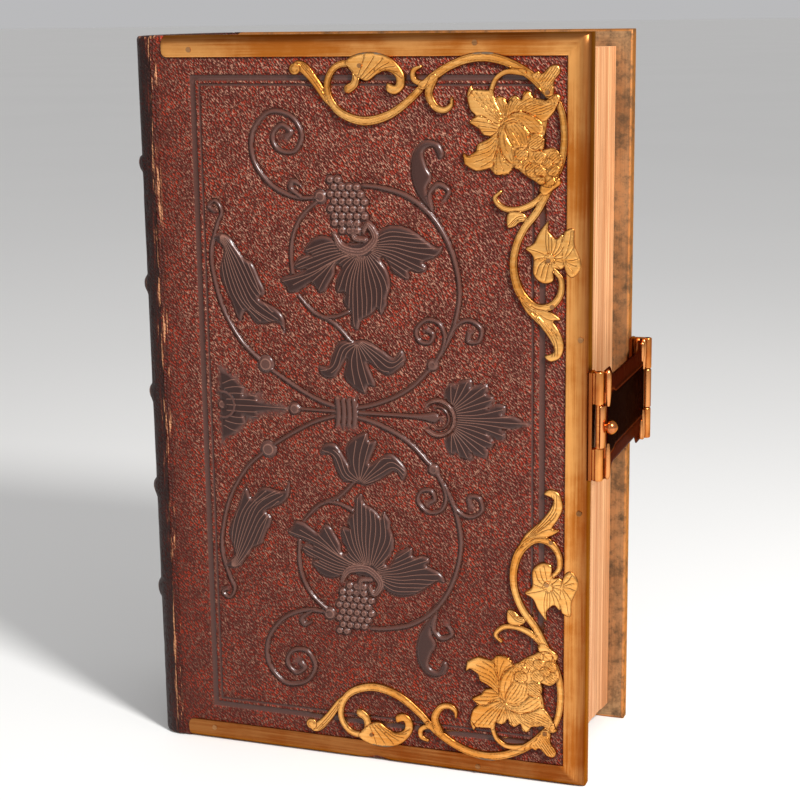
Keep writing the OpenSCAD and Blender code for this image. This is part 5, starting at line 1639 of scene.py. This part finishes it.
def clasp_button():
    parts = Parts()
    profile = [(0.5, -0.2), (0.72, 0.0), (0.7, 0.22), (0.78, 0.36), (1.08, 0.46), (1.3, 0.68), (1.4, 0.98),
               (1.38, 1.26), (1.24, 1.58), (1.0, 1.88), (0.7, 2.14), (0.36, 2.32), (0.1, 2.38)]
    parts.turned(PLATE_X + PLATE_T, -CLASP_Y, profile, 0.0, 36, True)
    return parts.made("clasp_button", COPPER, 60)


finish_piece(clasp_plate(), "clasp", "hasp")
finish_piece(clasp_button(), "clasp", "clasp_knob")


# Plain finish of the construction's own pieces
PLAIN = {"front_lining": LINING, "back_lining": LINING, "front_rim_pins": PIN_BRASS,
         "back_rim_pins": PIN_BRASS, "mount_pins": PIN_BRASS, "catch_bar": HINGE_BRASS,
         "hinge_pin": BRASS_PAINTED_DARK}
for node, material in PLAIN.items():
    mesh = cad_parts[node].data
    mesh.materials.clear()
    mesh.materials.append(material)


# Stage and light

def seen_straight(tree):
    """1 for what the camera sees itself or in a shine, 0 for light that only falls on the book."""
    rays = tree.nodes.new("ShaderNodeLightPath")
    most = rays.outputs["Is Camera Ray"]
    for name in ("Is Glossy Ray", "Is Transmission Ray"):
        made = tree.nodes.new("ShaderNodeMath")
        made.operation = "MAXIMUM"
        tree.links.new(most, made.inputs[0])
        tree.links.new(rays.outputs[name], made.inputs[1])
        most = made.outputs[0]
    return most


def floor_finish():
    f = Finish("pale_floor", roughness=0.8)
    tone = f.mix(f.noise(400, 2.0).step(0.4, 0.6) * 0.3, colour(240, 239, 236), colour(236, 235, 232))
    f.set(Base_Color=f.mix(Value(f, seen_straight(f.tree)), colour(140, 139, 137), tone))
    return f.material


FLOOR_HALF = 60


def add_stage():
    mesh = bpy.data.meshes.new("floor")
    turns = [(-1, -1), (1, -1), (1, 1), (-1, 1)]
    mesh.from_pydata([(x * FLOOR_HALF, y * FLOOR_HALF, 0) for x, y in turns], [], [(0, 1, 2, 3)])
    mesh.materials.append(floor_finish())
    floor = bpy.data.objects.new("floor", mesh)
    bpy.context.collection.objects.link(floor)


LAMPS_AIM = Vector((0, 0, 0.08))
FALLING_LIGHT = 0.56
SEEN_LIGHT = 0.5


def add_lamp(name, place, size, power):
    data = bpy.data.lights.new(name, "AREA")
    data.shape = "DISK"
    data.size = size
    data.energy = power
    lamp = bpy.data.objects.new(name, data)
    lamp.location = place
    lamp.rotation_mode = "QUATERNION"
    lamp.rotation_quaternion = (LAMPS_AIM - Vector(place)).to_track_quat("-Z", "Y")
    bpy.context.collection.objects.link(lamp)


def add_world():
    world = bpy.data.worlds.new("studio")
    bpy.context.scene.world = world
    world.use_nodes = True
    tree = world.node_tree
    background = tree.nodes["Background"]
    background.inputs["Color"].default_value = (0.98, 0.98, 1.0, 1)
    level = tree.nodes.new("ShaderNodeMapRange")
    level.inputs["To Min"].default_value = FALLING_LIGHT
    level.inputs["To Max"].default_value = SEEN_LIGHT
    tree.links.new(seen_straight(tree), level.inputs["Value"])
    tree.links.new(level.outputs[0], background.inputs["Strength"])


add_stage()
add_lamp("key_lamp", (0.36, -0.26, 0.44), 0.1, 4.4)
add_lamp("fill_lamp", (-0.25, -0.9, 0.4), 0.6, 0.8)
add_world()
bpy.context.scene.view_settings.view_transform = "Standard"
